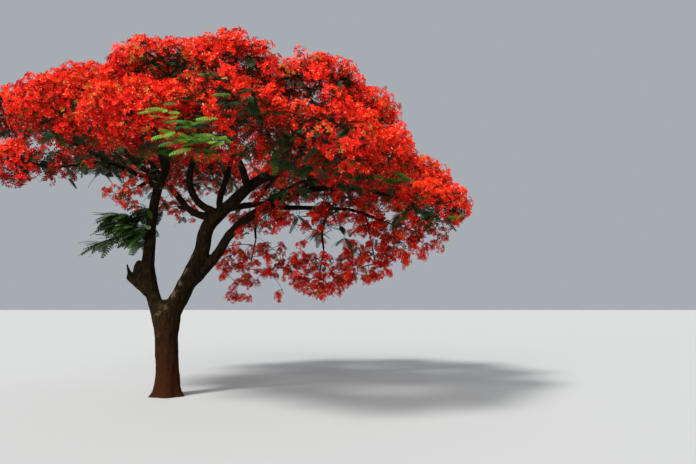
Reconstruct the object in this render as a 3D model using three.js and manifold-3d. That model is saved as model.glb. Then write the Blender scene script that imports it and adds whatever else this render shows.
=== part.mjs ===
// A flame tree in full bloom: a leaning trunk with a flared foot, two stems that fork into long
// arching boughs, and a wide low dome of blossom with feathery leaves under it.
// Millimetres, +Z up. The origin is the middle of the flat cut under the trunk. Seen from the
// open side of the tree, +X is to the right and +Y is away.

import * as THREE from 'three';
import { mergeVertices } from 'three/addons/utils/BufferGeometryUtils.js';
import Module from 'manifold-3d';

const wasm = await Module();
wasm.setup();

// Crown: the dome that the masses of foliage lie on
const CROWN_CENTRE = new THREE.Vector3(1300, 0, 4200);
const CROWN_HALF_WIDTH = 6000;
const CROWN_HALF_DEPTH = 5600;
const CROWN_RISE = 4300;

// Trunk: level sections from the ground to the crotch between the two stems
const TRUNK_HEIGHT = 2270;
const TRUNK_HALF_WIDTH = 268;
const TRUNK_HALF_DEPTH = 262;
const TRUNK_LEAN = -168;
const TRUNK_SWAY = 26;
const FLARE = 125;
const FLARE_HEIGHT = 200;
const CROTCH_SPREAD = 100;
const CROTCH_START = 1350;
const CROTCH_END = 2040;
const BUTTRESS = 0.1;
const BUTTRESS_HEIGHT = 380;
const FLARE_DEPTH = 0.9;
const LEAN_POWER = 1.2;
const SHOULDER = 0.86;
const SHOULDER_CUT = 0.9;
const TRUNK_SIDES = 14;
const TRUNK_ROWS = 10;

// Boughs: a branch starts at this part of its bearer's thickness, and they all end as thick
const BRANCH_RATIO = 0.78;
const BRANCH_TIP_RADIUS = 32;
const BRANCH_MAX_RADIUS = 95;
const TAPER_POWER = 0.9;
const COLLAR = 0.25;
const COLLAR_END = 0.125;
const STOUT_LIMB = 90;
const SECTION_LENGTH = 760;
const FEWEST_SECTIONS = 5;
const WOBBLE = 0.028;
const BRANCH_TURN = 0.3;
const BRANCH_BOW = 0.15;
const GAP = 0.3;

// Foliage: sizes of a spray of blossom and of a feathery leaf, both larger than life
const BLOSSOM_RISE = 0.09;
const BLOSSOM_DEPTH = 0.12;
const PETAL_NOTCH = 0.5;
const FROND_LENGTH = 1050;
const FROND_WIDTH = 330;
const FROND_THICKNESS = 40;
const TWIG_RADIUS = 17;
const TWIG_TAPER = 0.45;
const TWIG_INSET = 0.11;
const FROND_SINK = 0.12;
const STAR_GAP = 8;
const CORE_SIZES = [0.58, 0.5, 0.42, 0.34];
const LUMP_LOW = 0.9;
const LUMP_RANGE = 0.16;
const ENTRY = 0.64;
const SPRAY_REACH = 0.82;
const REACH_RANGE = 0.14;
const SIZE_RANGE = 0.28;
const TRIES = 8;
const SKIN = 1.03;
const FROND_ROOT = 0.34;
const FROND_REACH = 1.1;
const FROND_HIGHEST = 0.2;
const FROND_LOWEST = -0.45;
const CLEARANCE = 18;
const STEM_KNEE = 60;
const STEM_START = 0.92;
const STEM_TAPER = 0.4;
const AIRY_OVERSHOOT = 0.45;
const AIRY_TWIGS_FROM = 0.35;
const STAR_STRIDE = 11;
const FROND_STRIDE = 5;
const GOLDEN_ANGLE = Math.PI * (3 - Math.sqrt(5));

const bark = { color: 0x4b3423, roughness: 0.9, metalness: 0 };
const blossomRed = { color: 0xc62a17, roughness: 0.6, metalness: 0 };
const leafGreen = { color: 0x3c6b32, roughness: 0.6, metalness: 0 };

// Main limbs: start and bends in millimetres, then the mass that each one ends in
const MAIN_LIMBS = [
  { name: 'left_stem', from: 'trunk', start: [-250, 0, 1800], radius: 185, tipRadius: 38,
    bends: [[-555, 0, 2860], [-555, -60, 3700], [-415, -170, 4800], [-70, -480, 5600]],
    mass: 'top_near_left' },
  { name: 'right_stem', from: 'trunk', start: [-20, 0, 1900], radius: 238, tipRadius: 42,
    bends: [[330, 0, 2560], [690, 0, 3400], [850, 0, 4080], [1450, -60, 4660], [2150, -330, 5180],
      [3050, -1080, 5230]],
    mass: 'right_near' },
  { name: 'right_arm', from: 'right_stem', at: 0.1, radius: 140, tipRadius: 36,
    bends: [[1040, 60, 3330], [1430, 60, 3940], [2090, 40, 4480], [3220, 0, 4960], [4500, -330, 4960]],
    mass: 'right_end' },
  { name: 'lower_arm', from: 'right_arm', at: 0.44, radius: 70, tipRadius: 32,
    bends: [[3150, 330, 4600], [4350, 420, 4560]],
    mass: 'right_low' },
  { name: 'crossing_bough', from: 'right_stem', at: 0.39, radius: 92, tipRadius: 34,
    bends: [[330, 260, 4520], [-300, 330, 5200], [-1210, 150, 5850]],
    mass: 'left_mid' },
  { name: 'upright_bough', from: 'right_stem', at: 0.41, radius: 95, tipRadius: 34,
    bends: [[560, -170, 4740], [560, -640, 5400]],
    mass: 'top_near' },
  { name: 'back_upright_bough', from: 'right_stem', at: 0.43, radius: 88, tipRadius: 34,
    bends: [[1060, 260, 4780], [1240, 420, 5600]],
    mass: 'top_back' },
  { name: 'back_bough', from: 'right_stem', at: 0.45, radius: 98, tipRadius: 34,
    bends: [[1560, 900, 4750], [2200, 2300, 5150]],
    mass: 'back_mid' },
  { name: 'left_bough', from: 'left_stem', at: 0.62, radius: 68, tipRadius: 32,
    bends: [[-860, -330, 5330], [-1950, -800, 5830]],
    mass: 'left_end' },
  { name: 'low_left_bough', from: 'left_bough', at: 0.22, radius: 36, tipRadius: 24,
    bends: [[-1450, -850, 5480], [-2250, -1250, 5280]],
    mass: 'left_drop' },
];

// Branches: bearer, place along it, rise and sideways swing of the middle, and the mass at the end
const BRANCHES = [
  { from: 'left_stem', at: 0.66, rise: 250, swing: -100, mass: 'near_left' },
  { from: 'left_stem', at: 0.74, rise: 200, swing: 120, mass: 'left_near' },
  { from: 'left_stem', at: 0.57, rise: 160, swing: 0, mass: 'inner_left' },
  { from: 'crossing_bough', at: 0.62, rise: 150, swing: 0, mass: 'top_left' },
  { from: 'crossing_bough', at: 0.5, rise: 200, swing: 100, mass: 'top_back_left' },
  { from: 'crossing_bough', at: 0.4, rise: 300, swing: 100, mass: 'back_left' },
  { from: 'crossing_bough', at: 0.2, rise: 0, swing: 100, mass: 'inner_back' },
  { from: 'right_stem', at: 0.56, rise: 300, swing: -150, mass: 'near_mid' },
  { from: 'right_stem', at: 0.74, rise: 250, swing: -100, mass: 'near_right' },
  { from: 'right_stem', at: 0.66, rise: 100, swing: 0, mass: 'top_right' },
  { from: 'right_arm', at: 0.6, rise: 150, swing: 0, mass: 'right_top' },
  { from: 'right_arm', at: 0.7, rise: 200, swing: 150, mass: 'right_back' },
  { from: 'back_upright_bough', at: 0.4, rise: 350, swing: 0, mass: 'back_mid_left' },
  { from: 'back_bough', at: 0.38, rise: 250, swing: -100, mass: 'top_back_right' },
  { from: 'back_bough', at: 0.5, rise: 300, swing: -150, mass: 'back_right' },
  { from: 'back_bough', at: 0.66, rise: 120, swing: 250, mass: 'hang_back' },
  { from: 'right_back', at: 0.3, rise: 100, swing: 150, mass: 'hang_mid' },
  { from: 'right_back', at: 0.62, rise: 60, swing: 100, mass: 'hang_right' },
];

// Masses: bearing from +X towards +Y and tilt from straight up, in degrees, then the part of the
// dome's size at which the middle lies, the half width and the half height
const DENSE = { sprays: 6, fronds: 4, core: true, lowest: -0.35, across: 1020 };
const AIRY = { sprays: 5, fronds: 2, core: false, lowest: -1, across: 680 };
const MASSES = [
  { name: 'left_end', bearing: -168, tilt: 55, reach: 0.96, width: 1350, height: 740, ...DENSE },
  { name: 'left_drop', bearing: -161, tilt: 71.5, reach: 0.83, width: 600, height: 690, ...AIRY },
  { name: 'left_near', bearing: -125, tilt: 60, reach: 0.78, width: 1500, height: 800, ...DENSE },
  { name: 'left_mid', bearing: -175, tilt: 37, reach: 0.94, width: 1300, height: 780, ...DENSE },
  { name: 'near_left', bearing: -96, tilt: 69, reach: 0.8, width: 1450, height: 740, ...DENSE },
  { name: 'near_mid', bearing: -79, tilt: 74, reach: 0.88, width: 1400, height: 900, ...DENSE },
  { name: 'near_right', bearing: -60, tilt: 76, reach: 0.86, width: 1400, height: 880, ...DENSE },
  { name: 'right_near', bearing: -40, tilt: 73.5, reach: 0.76, width: 1320, height: 910, ...DENSE },
  { name: 'right_end', bearing: -10, tilt: 86, reach: 0.84, width: 1120, height: 760, ...DENSE },
  { name: 'top_left', bearing: -150, tilt: 26, reach: 0.79, width: 1300, height: 850, ...DENSE },
  { name: 'top_near_left', bearing: -108, tilt: 34, reach: 0.79, width: 1400, height: 850, ...DENSE },
  { name: 'top_near', bearing: -78, tilt: 34, reach: 0.8, width: 1350, height: 850, ...DENSE },
  { name: 'top_right', bearing: -38, tilt: 36, reach: 0.79, width: 1450, height: 880, ...DENSE },
  { name: 'right_top', bearing: -6, tilt: 42, reach: 0.81, width: 1250, height: 860, ...DENSE },
  { name: 'top_back', bearing: 75, tilt: 10, reach: 0.79, width: 1500, height: 950, ...DENSE },
  { name: 'top_back_left', bearing: 150, tilt: 34, reach: 0.84, width: 1550, height: 850, ...DENSE },
  { name: 'top_back_right', bearing: 35, tilt: 40, reach: 0.83, width: 1550, height: 1000, ...DENSE },
  { name: 'back_left', bearing: 148, tilt: 54, reach: 0.94, width: 1650, height: 800, ...DENSE },
  { name: 'back_mid_left', bearing: 112, tilt: 56, reach: 0.9, width: 1650, height: 880, ...DENSE },
  { name: 'back_mid', bearing: 76, tilt: 59, reach: 0.9, width: 1600, height: 950, ...DENSE },
  { name: 'back_right', bearing: 43, tilt: 64, reach: 0.89, width: 1550, height: 930, ...DENSE },
  { name: 'right_back', bearing: 15, tilt: 72, reach: 0.87, width: 1200, height: 980, ...DENSE },
  { name: 'hang_back', bearing: 88, tilt: 106, reach: 0.58, width: 1300, height: 1080, ...AIRY },
  { name: 'hang_mid', bearing: 48, tilt: 113, reach: 0.6, width: 1300, height: 1050, ...AIRY },
  { name: 'hang_right', bearing: 25, tilt: 103, reach: 0.7, width: 1150, height: 950, ...AIRY },
  { name: 'right_low', bearing: 5, tilt: 92, reach: 0.74, width: 1050, height: 780, ...AIRY },
  { name: 'inner_left', bearing: -165, tilt: 70, reach: 0.43, width: 600, height: 600, ...AIRY },
  { name: 'inner_back', bearing: 130, tilt: 70, reach: 0.47, width: 650, height: 560, ...AIRY },
];

// Broken bough and leaf sprout: both leave the left stem, to the left
const STUB = { name: 'broken_bough', from: 'left_stem', sections: 6,
  points: [[-540, 0, 2480], [-820, 10, 2700], [-1010, 20, 2880], [-1120, 30, 3150]],
  radius: 150, tipRadius: 42, knob: [-800, 0, 2980], knobSizes: [150, 135, 260] };
const SPROUT = { at: 0.48, shootEnd: [-1200, -130, 4090], shootRadius: 30, fronds: 11, length: 880,
  width: 210, spread: 0.9, lean: -0.7, rise: -0.1 };

// A fraction from 0 to 1 that is always the same for the same two numbers
function chance(seed, index) {
  const wave = Math.sin(seed * 12.9898 + index * 78.233) * 43758.5453;
  return wave - Math.floor(wave);
}

// A shape whose faces share their corners, so that it stays closed however it is bent
function closed(geometry) {
  geometry.deleteAttribute('normal');
  geometry.deleteAttribute('uv');
  return mergeVertices(geometry);
}

function solidFrom(geometry) {
  return new wasm.Manifold(new wasm.Mesh({
    numProp: 3,
    vertProperties: geometry.attributes.position.array,
    triVerts: new Uint32Array(geometry.index.array),
  }));
}

function geometryFrom(solid) {
  const mesh = solid.getMesh();
  const geometry = new THREE.BufferGeometry();
  geometry.setAttribute('position', new THREE.BufferAttribute(mesh.vertProperties, 3));
  geometry.setIndex(new THREE.BufferAttribute(mesh.triVerts, 1));
  return geometry;
}

function bendEachVertex(geometry, move) {
  const position = geometry.attributes.position;
  const point = new THREE.Vector3();
  for (let i = 0; i < position.count; i += 1) {
    point.fromBufferAttribute(position, i);
    move(point);
    position.setXYZ(i, point.x, point.y, point.z);
  }
  return geometry;
}

// The largest of a solid's separate bodies: drops loose scraps and fills sealed hollows
function mainBody(solid) {
  const bodies = solid.decompose();
  return bodies.reduce((best, body) => (body.volume() > best.volume() ? body : best));
}

// Trunk: a column of level sections, wider at the flared foot and at the crotch
function trunkSection(height, angle) {
  const flare = FLARE * Math.exp(-height / FLARE_HEIGHT);
  const crotch = CROTCH_SPREAD * THREE.MathUtils.smoothstep(height, CROTCH_START, CROTCH_END);
  const ribs = Math.cos(5 * angle + 0.7) + 0.5 * Math.cos(3 * angle + 2);
  const buttress = 1 + BUTTRESS * Math.exp(-height / BUTTRESS_HEIGHT) * ribs;
  const shoulder = THREE.MathUtils.clamp((height / TRUNK_HEIGHT - SHOULDER) / (1 - SHOULDER), 0, 1);
  const dome = Math.sqrt(1 - SHOULDER_CUT * shoulder * shoulder);
  return {
    x: TRUNK_LEAN * (height / TRUNK_HEIGHT) ** LEAN_POWER + TRUNK_SWAY * (1 - flare / FLARE),
    halfWidth: (TRUNK_HALF_WIDTH + flare + crotch) * buttress * dome,
    halfDepth: (TRUNK_HALF_DEPTH + FLARE_DEPTH * flare) * buttress * dome,
  };
}

// The rows of sections lie closer together towards the foot
function trunkSolid(extra = 0) {
  const column = closed(new THREE.CylinderGeometry(1, 1, 1, TRUNK_SIDES, TRUNK_ROWS));
  bendEachVertex(column, (point) => {
    const t = THREE.MathUtils.clamp(point.y + 0.5, 0, 1);
    const height = TRUNK_HEIGHT * (t < 0.5 ? 2 * t * t : 2 * t - 0.5) / 1.5;
    const section = trunkSection(height, Math.atan2(point.x, point.z));
    const x = section.x + point.z * (section.halfWidth + extra);
    const y = point.x * (section.halfDepth + extra);
    point.set(x, y, height + (t > 0.99 ? extra : 0));
  });
  return solidFrom(column);
}

// A limb's radius: it tapers to the tip, from a swollen collar where it leaves another limb
function limbRadius(limb, t) {
  const collar = limb.from === 'trunk' ? 1 : 1 + COLLAR * Math.max(0, 1 - t / COLLAR_END);
  return (limb.tipRadius + (limb.radius - limb.tipRadius) * (1 - t) ** TAPER_POWER) * collar;
}

// A tube along a curve, grown all over by extra
function tubeSolid(curve, radiusAt, sides, sections, extra = 0) {
  const tube = closed(new THREE.CylinderGeometry(1, 1, 1, sides, sections));
  const points = curve.getSpacedPoints(sections);
  const frames = curve.computeFrenetFrames(sections, false);
  const grown = extra / Math.cos(Math.PI / sides);
  bendEachVertex(tube, (point) => {
    const row = Math.round((point.y + 0.5) * sections);
    const radius = radiusAt(row / sections) + grown;
    const side = frames.normals[row].clone().multiplyScalar(point.x * radius);
    const front = frames.binormals[row].clone().multiplyScalar(-point.z * radius);
    point.copy(points[row]).add(side).add(front);
    if (row === sections) {
      point.addScaledVector(frames.tangents[row], extra);
    }
  });
  return solidFrom(tube);
}

function limbSolid(limb, extra = 0) {
  const sides = limb.radius > STOUT_LIMB ? 8 : 6;
  return tubeSolid(limb.curve, (t) => limbRadius(limb, t), sides, limb.sections, extra);
}

function smoothCurve(points) {
  return new THREE.CatmullRomCurve3(points, false, 'catmullrom', 0.5);
}

// A mass's middle, worked out on the crown's dome
function massCentre(mass) {
  const bearing = THREE.MathUtils.degToRad(mass.bearing);
  const tilt = THREE.MathUtils.degToRad(mass.tilt);
  return new THREE.Vector3(
    CROWN_HALF_WIDTH * Math.sin(tilt) * Math.cos(bearing),
    CROWN_HALF_DEPTH * Math.sin(tilt) * Math.sin(bearing),
    CROWN_RISE * Math.cos(tilt),
  ).multiplyScalar(mass.reach).add(CROWN_CENTRE);
}

// How far out a point lies in a mass: 1 is on its skin
function depthIn(mass, point) {
  const away = point.clone().sub(mass.centre);
  return Math.hypot(away.x / mass.width, away.y / mass.width, away.z / mass.height);
}

// Where a limb that comes from a point enters a mass
function entryPoint(mass, from) {
  const away = from.clone().sub(mass.centre);
  return mass.centre.clone().addScaledVector(away, ENTRY / depthIn(mass, from));
}

// A branch rises or swings out of the straight line to its mass, and wavers a little
function branchCurve(start, mass, branch, seed) {
  const along = mass.centre.clone().sub(start);
  const side = new THREE.Vector3(-along.y, along.x, 0).normalize();
  const bow = side.clone().multiplyScalar(branch.swing).add(new THREE.Vector3(0, 0, branch.rise));
  const approach = start.clone().lerp(mass.centre, BRANCH_TURN).add(bow);
  const end = entryPoint(mass, approach);
  const middle = start.clone().lerp(end, 0.5).add(bow);
  const wobble = WOBBLE * along.length();
  const quarters = [[start, middle], [middle, end]].map(([a, b], i) => {
    const point = a.clone().lerp(b, 0.5).addScaledVector(bow, BRANCH_BOW);
    point.addScaledVector(side, wobble * (2 * chance(seed, i) - 1));
    point.z += wobble * (2 * chance(seed, i + 2) - 1);
    return point;
  });
  return smoothCurve([start, quarters[0], middle, quarters[1], end]);
}

const masses = new Map();
for (const [index, row] of MASSES.entries()) {
  const sizes = new THREE.Vector3(row.width, row.width, row.height);
  masses.set(row.name, { ...row, seed: index + 1, centre: massCentre(row), sizes });
}

const limbs = new Map();
for (const row of MAIN_LIMBS) {
  const mass = masses.get(row.mass);
  const bearer = limbs.get(row.from);
  const start = bearer ? bearer.curve.getPointAt(row.at) : new THREE.Vector3(...row.start);
  const bends = row.bends.map((bend) => new THREE.Vector3(...bend));
  const curve = smoothCurve([start, ...bends, entryPoint(mass, bends[bends.length - 1])]);
  limbs.set(row.name, { ...row, curve });
  mass.limb = row.name;
}
for (const row of BRANCHES) {
  const mass = masses.get(row.mass);
  const bearer = limbs.get(row.from) ?? limbs.get(`${row.from}_branch`);
  const radius = Math.min(BRANCH_MAX_RADIUS, BRANCH_RATIO * limbRadius(bearer, row.at));
  const tipRadius = Math.min(BRANCH_TIP_RADIUS, 0.75 * radius);
  const curve = branchCurve(bearer.curve.getPointAt(row.at), mass, row, mass.seed);
  const name = `${row.mass}_branch`;
  limbs.set(name, { ...row, name, radius, tipRadius, curve });
  mass.limb = name;
}
for (const limb of limbs.values()) {
  limb.sections = Math.max(FEWEST_SECTIONS, Math.round(limb.curve.getLength() / SECTION_LENGTH) + 1);
}

const nodes = [];
const blockers = [];

function addNode(name, solid, look) {
  const mesh = new THREE.Mesh(geometryFrom(solid), new THREE.MeshStandardMaterial(look));
  mesh.name = name;
  nodes.push(mesh);
  blockers.push({ solid, box: solid.boundingBox() });
}

function boxesNear(a, b, reach) {
  return [0, 1, 2].every((k) => a.min[k] - reach < b.max[k] && b.min[k] - reach < a.max[k]);
}

// Whether a solid keeps its distance from every node so far
function isClear(solid) {
  const box = solid.boundingBox();
  return blockers.every((other) => !boxesNear(box, other.box, CLEARANCE)
    || solid.minGap(other.solid, CLEARANCE) >= CLEARANCE);
}

// Whether a solid keeps its distance from the stars of its own mass
function isApart(solid, stars) {
  return stars.every((star) => solid.minGap(star, STAR_GAP) >= STAR_GAP);
}

// Trunk and limbs: each limb is cut clear of every limb before it
addNode('trunk', trunkSolid(), bark);
const grownLimbs = [trunkSolid(GAP)];

function addLimb(limb, knob) {
  let solid = knob ? limbSolid(limb).add(knob) : limbSolid(limb);
  const box = solid.boundingBox();
  for (const other of grownLimbs) {
    if (boxesNear(box, other.boundingBox(), GAP)) {
      solid = solid.subtract(other);
    }
  }
  addNode(limb.name, mainBody(solid), bark);
  grownLimbs.push(limbSolid(limb, GAP));
}

for (const limb of limbs.values()) {
  addLimb(limb);
}

// The broken bough has a swollen knob where the wound has healed over
const stubCurve = smoothCurve(STUB.points.map((point) => new THREE.Vector3(...point)));
const knob = closed(new THREE.SphereGeometry(1, 8, 5));
knob.rotateX(Math.PI / 2).scale(...STUB.knobSizes).translate(...STUB.knob);
addLimb({ ...STUB, curve: stubCurve }, solidFrom(knob));

// Twigs, blossom and leaves
function twigSolid(start, end, radius = TWIG_RADIUS, sides = 3) {
  return tubeSolid(new THREE.LineCurve3(start, end), (t) => radius * (1 - TWIG_TAPER * t), sides, 1);
}

// Turns a shape so that its X runs along one direction and its Z faces another
function turnTo(geometry, along, normal) {
  const x = along.clone().normalize();
  const z = normal.clone().addScaledVector(x, -normal.dot(x)).normalize();
  const y = z.clone().cross(x);
  geometry.applyMatrix4(new THREE.Matrix4().makeBasis(x, y, z));
  return geometry;
}

// A spray of blossom: a five-petalled star, slightly cupped
function starSolid(centre, normal, across, petal) {
  const star = closed(new THREE.SphereGeometry(1, 10, 2));
  bendEachVertex(star, (point) => {
    const angle = Math.atan2(point.x, point.z);
    const step = Math.round(angle / (Math.PI / 5));
    const rim = Math.hypot(point.x, point.z) > 0.5;
    const radius = rim ? (across / 2) * (step % 2 ? PETAL_NOTCH : 1) : 0;
    const height = rim ? 0 : across * (point.y > 0 ? BLOSSOM_RISE : -BLOSSOM_DEPTH);
    point.set(radius * Math.cos(angle), radius * Math.sin(angle), height);
  });
  turnTo(star, petal, normal);
  star.translate(centre.x, centre.y, centre.z);
  return solidFrom(star);
}

// Where a twig comes up into a star: under one petal, beside its middle
function twigEnd(centre, normal, across, petal) {
  const under = petal.clone().applyAxisAngle(normal, Math.PI / 10);
  return centre.clone().addScaledVector(under, TWIG_INSET * across);
}

// A feathery leaf: a flat pointed blade with its root sunk in what carries it
function frondSolid(root, along, length, width) {
  const blade = closed(new THREE.OctahedronGeometry(1, 0));
  blade.scale(length / 2, width / 2, FROND_THICKNESS / 2);
  blade.translate(length / 2 - FROND_SINK * length, 0, 0);
  turnTo(blade, along, new THREE.Vector3(0, 0, 1));
  blade.translate(root.x, root.y, root.z);
  return solidFrom(blade);
}

// The point of a mass in a direction, at a part of the way to its skin
function skinPoint(mass, aim, part) {
  return mass.centre.clone().addScaledVector(aim.clone().multiply(mass.sizes), part);
}

// The dark middle of a dense mass: a lumpy ball
function coreSolid(mass, size) {
  const ball = closed(new THREE.IcosahedronGeometry(1, 0));
  ball.rotateX(mass.seed).rotateZ(2 * mass.seed);
  bendEachVertex(ball, (point) => {
    const lump = LUMP_LOW + LUMP_RANGE * chance(mass.seed, Math.round(30 * point.x));
    point.copy(skinPoint(mass, point, size * lump));
  });
  return solidFrom(ball);
}

// A mass keeps to the space that is nearer to its own middle than to any other
function ownsPoint(mass, point) {
  const own = depthIn(mass, point);
  return own < SKIN && [...masses.values()].every((other) => other === mass || depthIn(other, point) > own);
}

// Directions that are even on a ball, between two heights on it
function aimOf(mass, index, count, highest, lowest) {
  const height = highest - (highest - lowest) * ((index + 0.5) / count);
  const ring = Math.sqrt(Math.max(0, 1 - height * height));
  const angle = index * GOLDEN_ANGLE + mass.seed;
  return new THREE.Vector3(ring * Math.cos(angle), ring * Math.sin(angle), height);
}

// Stars of blossom on twigs, all over a mass from its top to its lowest
function growStars(mass, bearerAt, grown) {
  const stars = [];
  const tries = mass.sprays * TRIES;
  for (let i = 0; i < tries && stars.length < mass.sprays; i += 1) {
    const order = (i * STAR_STRIDE) % tries;
    const aim = aimOf(mass, order, tries, 1, mass.lowest);
    const centre = skinPoint(mass, aim, SPRAY_REACH - REACH_RANGE * chance(mass.seed, i));
    const face = aim.clone().divide(mass.sizes).normalize();
    const petal = new THREE.Vector3(Math.cos(order), Math.sin(order), 0);
    petal.addScaledVector(face, -petal.dot(face)).normalize();
    const across = mass.across * (1 + SIZE_RANGE * (chance(mass.seed, i + 40) - 0.5));
    const star = starSolid(centre, face, across, petal);
    const twig = twigSolid(bearerAt(i), twigEnd(centre, face, across, petal));
    if (ownsPoint(mass, centre) && isApart(star, stars) && isClear(star) && isClear(twig)) {
      grown.push(star, twig);
      stars.push(star);
    }
  }
  return stars;
}

// Leaves low in a mass, between its stars
function growFronds(mass, rootAt, stars, grown) {
  const tries = mass.fronds * TRIES;
  for (let i = 0, fronds = 0; i < tries && fronds < mass.fronds; i += 1) {
    const aim = aimOf(mass, (i * FROND_STRIDE) % tries, tries, FROND_HIGHEST, FROND_LOWEST);
    const root = rootAt(i, aim);
    const along = skinPoint(mass, aim, FROND_REACH).sub(root);
    const length = Math.min(FROND_LENGTH, along.length());
    const frond = frondSolid(root, along, length, FROND_WIDTH);
    const nearTip = root.clone().addScaledVector(along.normalize(), 0.9 * length);
    if (ownsPoint(mass, nearTip) && isApart(frond, stars) && isClear(frond)) {
      grown.push(frond);
      fronds += 1;
    }
  }
}

// A mass: a stem from its limb's tip, which twigs, blossom and leaves grow from. A dense mass
// has a core round the stem's head, and an airy one has its twigs along the stem
function grownMass(mass) {
  const limb = limbs.get(mass.limb);
  const tip = limb.curve.getPointAt(1);
  const foot = tip.clone().addScaledVector(limb.curve.getTangentAt(1), GAP);
  const knee = foot.clone().addScaledVector(limb.curve.getTangentAt(1), STEM_KNEE);
  const head = mass.core ? mass.centre : mass.centre.clone().lerp(tip, -AIRY_OVERSHOOT);
  const stem = smoothCurve([foot, knee, head]);
  const grown = [tubeSolid(stem, (t) => limb.tipRadius * (STEM_START - STEM_TAPER * t), 4, mass.core ? 2 : 3)];
  if (mass.core) {
    grown.push(CORE_SIZES.map((size) => coreSolid(mass, size)).find(isClear));
    const stars = growStars(mass, () => mass.centre, grown);
    growFronds(mass, (i, aim) => skinPoint(mass, aim, FROND_ROOT), stars, grown);
  } else {
    const alongStem = (i) => stem.getPointAt(THREE.MathUtils.lerp(AIRY_TWIGS_FROM, 0.98, chance(mass.seed, i + 90)));
    const stars = growStars(mass, alongStem, grown);
    growFronds(mass, alongStem, stars, grown);
  }
  return mainBody(wasm.Manifold.union(grown));
}

for (const mass of masses.values()) {
  addNode(`${mass.name}_foliage`, grownMass(mass), blossomRed);
}

// Leaf sprout: a short shoot from the side of the left stem with a fan of long leaves, each left
// out where it would come near a bough or a mass
function sproutSolid() {
  const stem = limbs.get('left_stem');
  const root = stem.curve.getPointAt(SPROUT.at);
  const shootEnd = new THREE.Vector3(...SPROUT.shootEnd);
  const grown = [twigSolid(root, shootEnd, SPROUT.shootRadius, 5)];
  for (let i = 0; i < SPROUT.fronds; i += 1) {
    const angle = i * GOLDEN_ANGLE;
    const start = root.clone().lerp(shootEnd, 0.45 + 0.5 * chance(7, i));
    const along = new THREE.Vector3(
      SPROUT.lean + SPROUT.spread * Math.cos(angle),
      SPROUT.spread * Math.sin(angle),
      SPROUT.rise + SPROUT.spread * (0.5 - chance(8, i)),
    );
    const frond = frondSolid(start, along, SPROUT.length, SPROUT.width);
    if (isClear(frond)) {
      grown.push(frond);
    }
  }
  return mainBody(wasm.Manifold.union(grown).subtract(limbSolid(stem, GAP)));
}

addNode('sprout_leaves', sproutSolid(), leafGreen);

const group = new THREE.Group();
group.add(...nodes);

export default group;
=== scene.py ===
"""A flame tree in full bloom: bark with relief over the trunk and boughs, and masses of twigs,
feathery leaves and blossom that grow on from the boughs. Metres, +Z up, +X to the right, +Y away.
"""

import math
from types import SimpleNamespace

import bpy
import numpy as np
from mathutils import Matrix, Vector, noise
from numpy.linalg import norm


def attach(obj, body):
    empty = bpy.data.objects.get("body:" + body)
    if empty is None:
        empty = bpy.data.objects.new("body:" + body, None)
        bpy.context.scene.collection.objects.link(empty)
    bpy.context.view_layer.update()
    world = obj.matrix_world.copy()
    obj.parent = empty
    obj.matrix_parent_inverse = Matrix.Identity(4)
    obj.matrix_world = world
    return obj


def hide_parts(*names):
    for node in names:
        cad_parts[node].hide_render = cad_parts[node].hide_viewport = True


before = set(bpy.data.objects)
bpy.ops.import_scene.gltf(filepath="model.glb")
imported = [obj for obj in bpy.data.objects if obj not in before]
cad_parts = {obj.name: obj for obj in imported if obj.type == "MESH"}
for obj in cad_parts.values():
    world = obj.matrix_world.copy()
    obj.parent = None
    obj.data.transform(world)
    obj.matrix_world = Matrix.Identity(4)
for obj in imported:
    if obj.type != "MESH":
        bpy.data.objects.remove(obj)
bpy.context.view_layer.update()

UP = np.array([0.0, 0.0, 1.0])
GOLDEN_ANGLE = math.pi * (3 - math.sqrt(5))


def add_object(name, data):
    """A new object, linked to the scene."""
    item = bpy.data.objects.new(name, data)
    bpy.context.scene.collection.objects.link(item)
    return item


# Camera: low, to the right of the trunk, looking a little up

CAMERA_PLACE = (4.31, -14.2, 2.1)
CAMERA_LENS = 30
CAMERA_PITCH = 7.37
CAMERA_RANGE = 2000

camera_data = bpy.data.cameras.new("camera")
camera_data.lens = CAMERA_LENS
camera_data.clip_end = CAMERA_RANGE
camera = add_object("camera", camera_data)
camera.location = CAMERA_PLACE
camera.rotation_euler = (math.radians(90 + CAMERA_PITCH), 0, 0)
bpy.context.scene.camera = camera


# Limbs and masses: the same named sizes as the solids

CROWN_CENTRE = np.array([1.3, 0.0, 4.2])
CROWN_HALF = np.array([6.0, 5.6, 4.3])
# Share of the way from a mass's middle to its skin: where its limb ends, and the furthest that heads sit
ENTRY = 0.64
SKIN = 1.03
# The stem of an airy mass runs on beyond the middle by this share of its way there
AIRY_OVERSHOOT = 0.45
# A limb tapers by a power of the way that is left, from a collar where it leaves another limb
TAPER_POWER = 0.9
COLLAR = 0.25
COLLAR_END = 0.125
# Branches: how far along they turn to their mass, how much they bow and waver, and how thick they are
BRANCH_TURN = 0.3
BRANCH_BOW = 0.15
WOBBLE = 0.028
BRANCH_RATIO = 0.78
BRANCH_MAX_RADIUS = 0.095
BRANCH_TIP_RADIUS = 0.032
BRANCH_TIP_RATIO = 0.75

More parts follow.
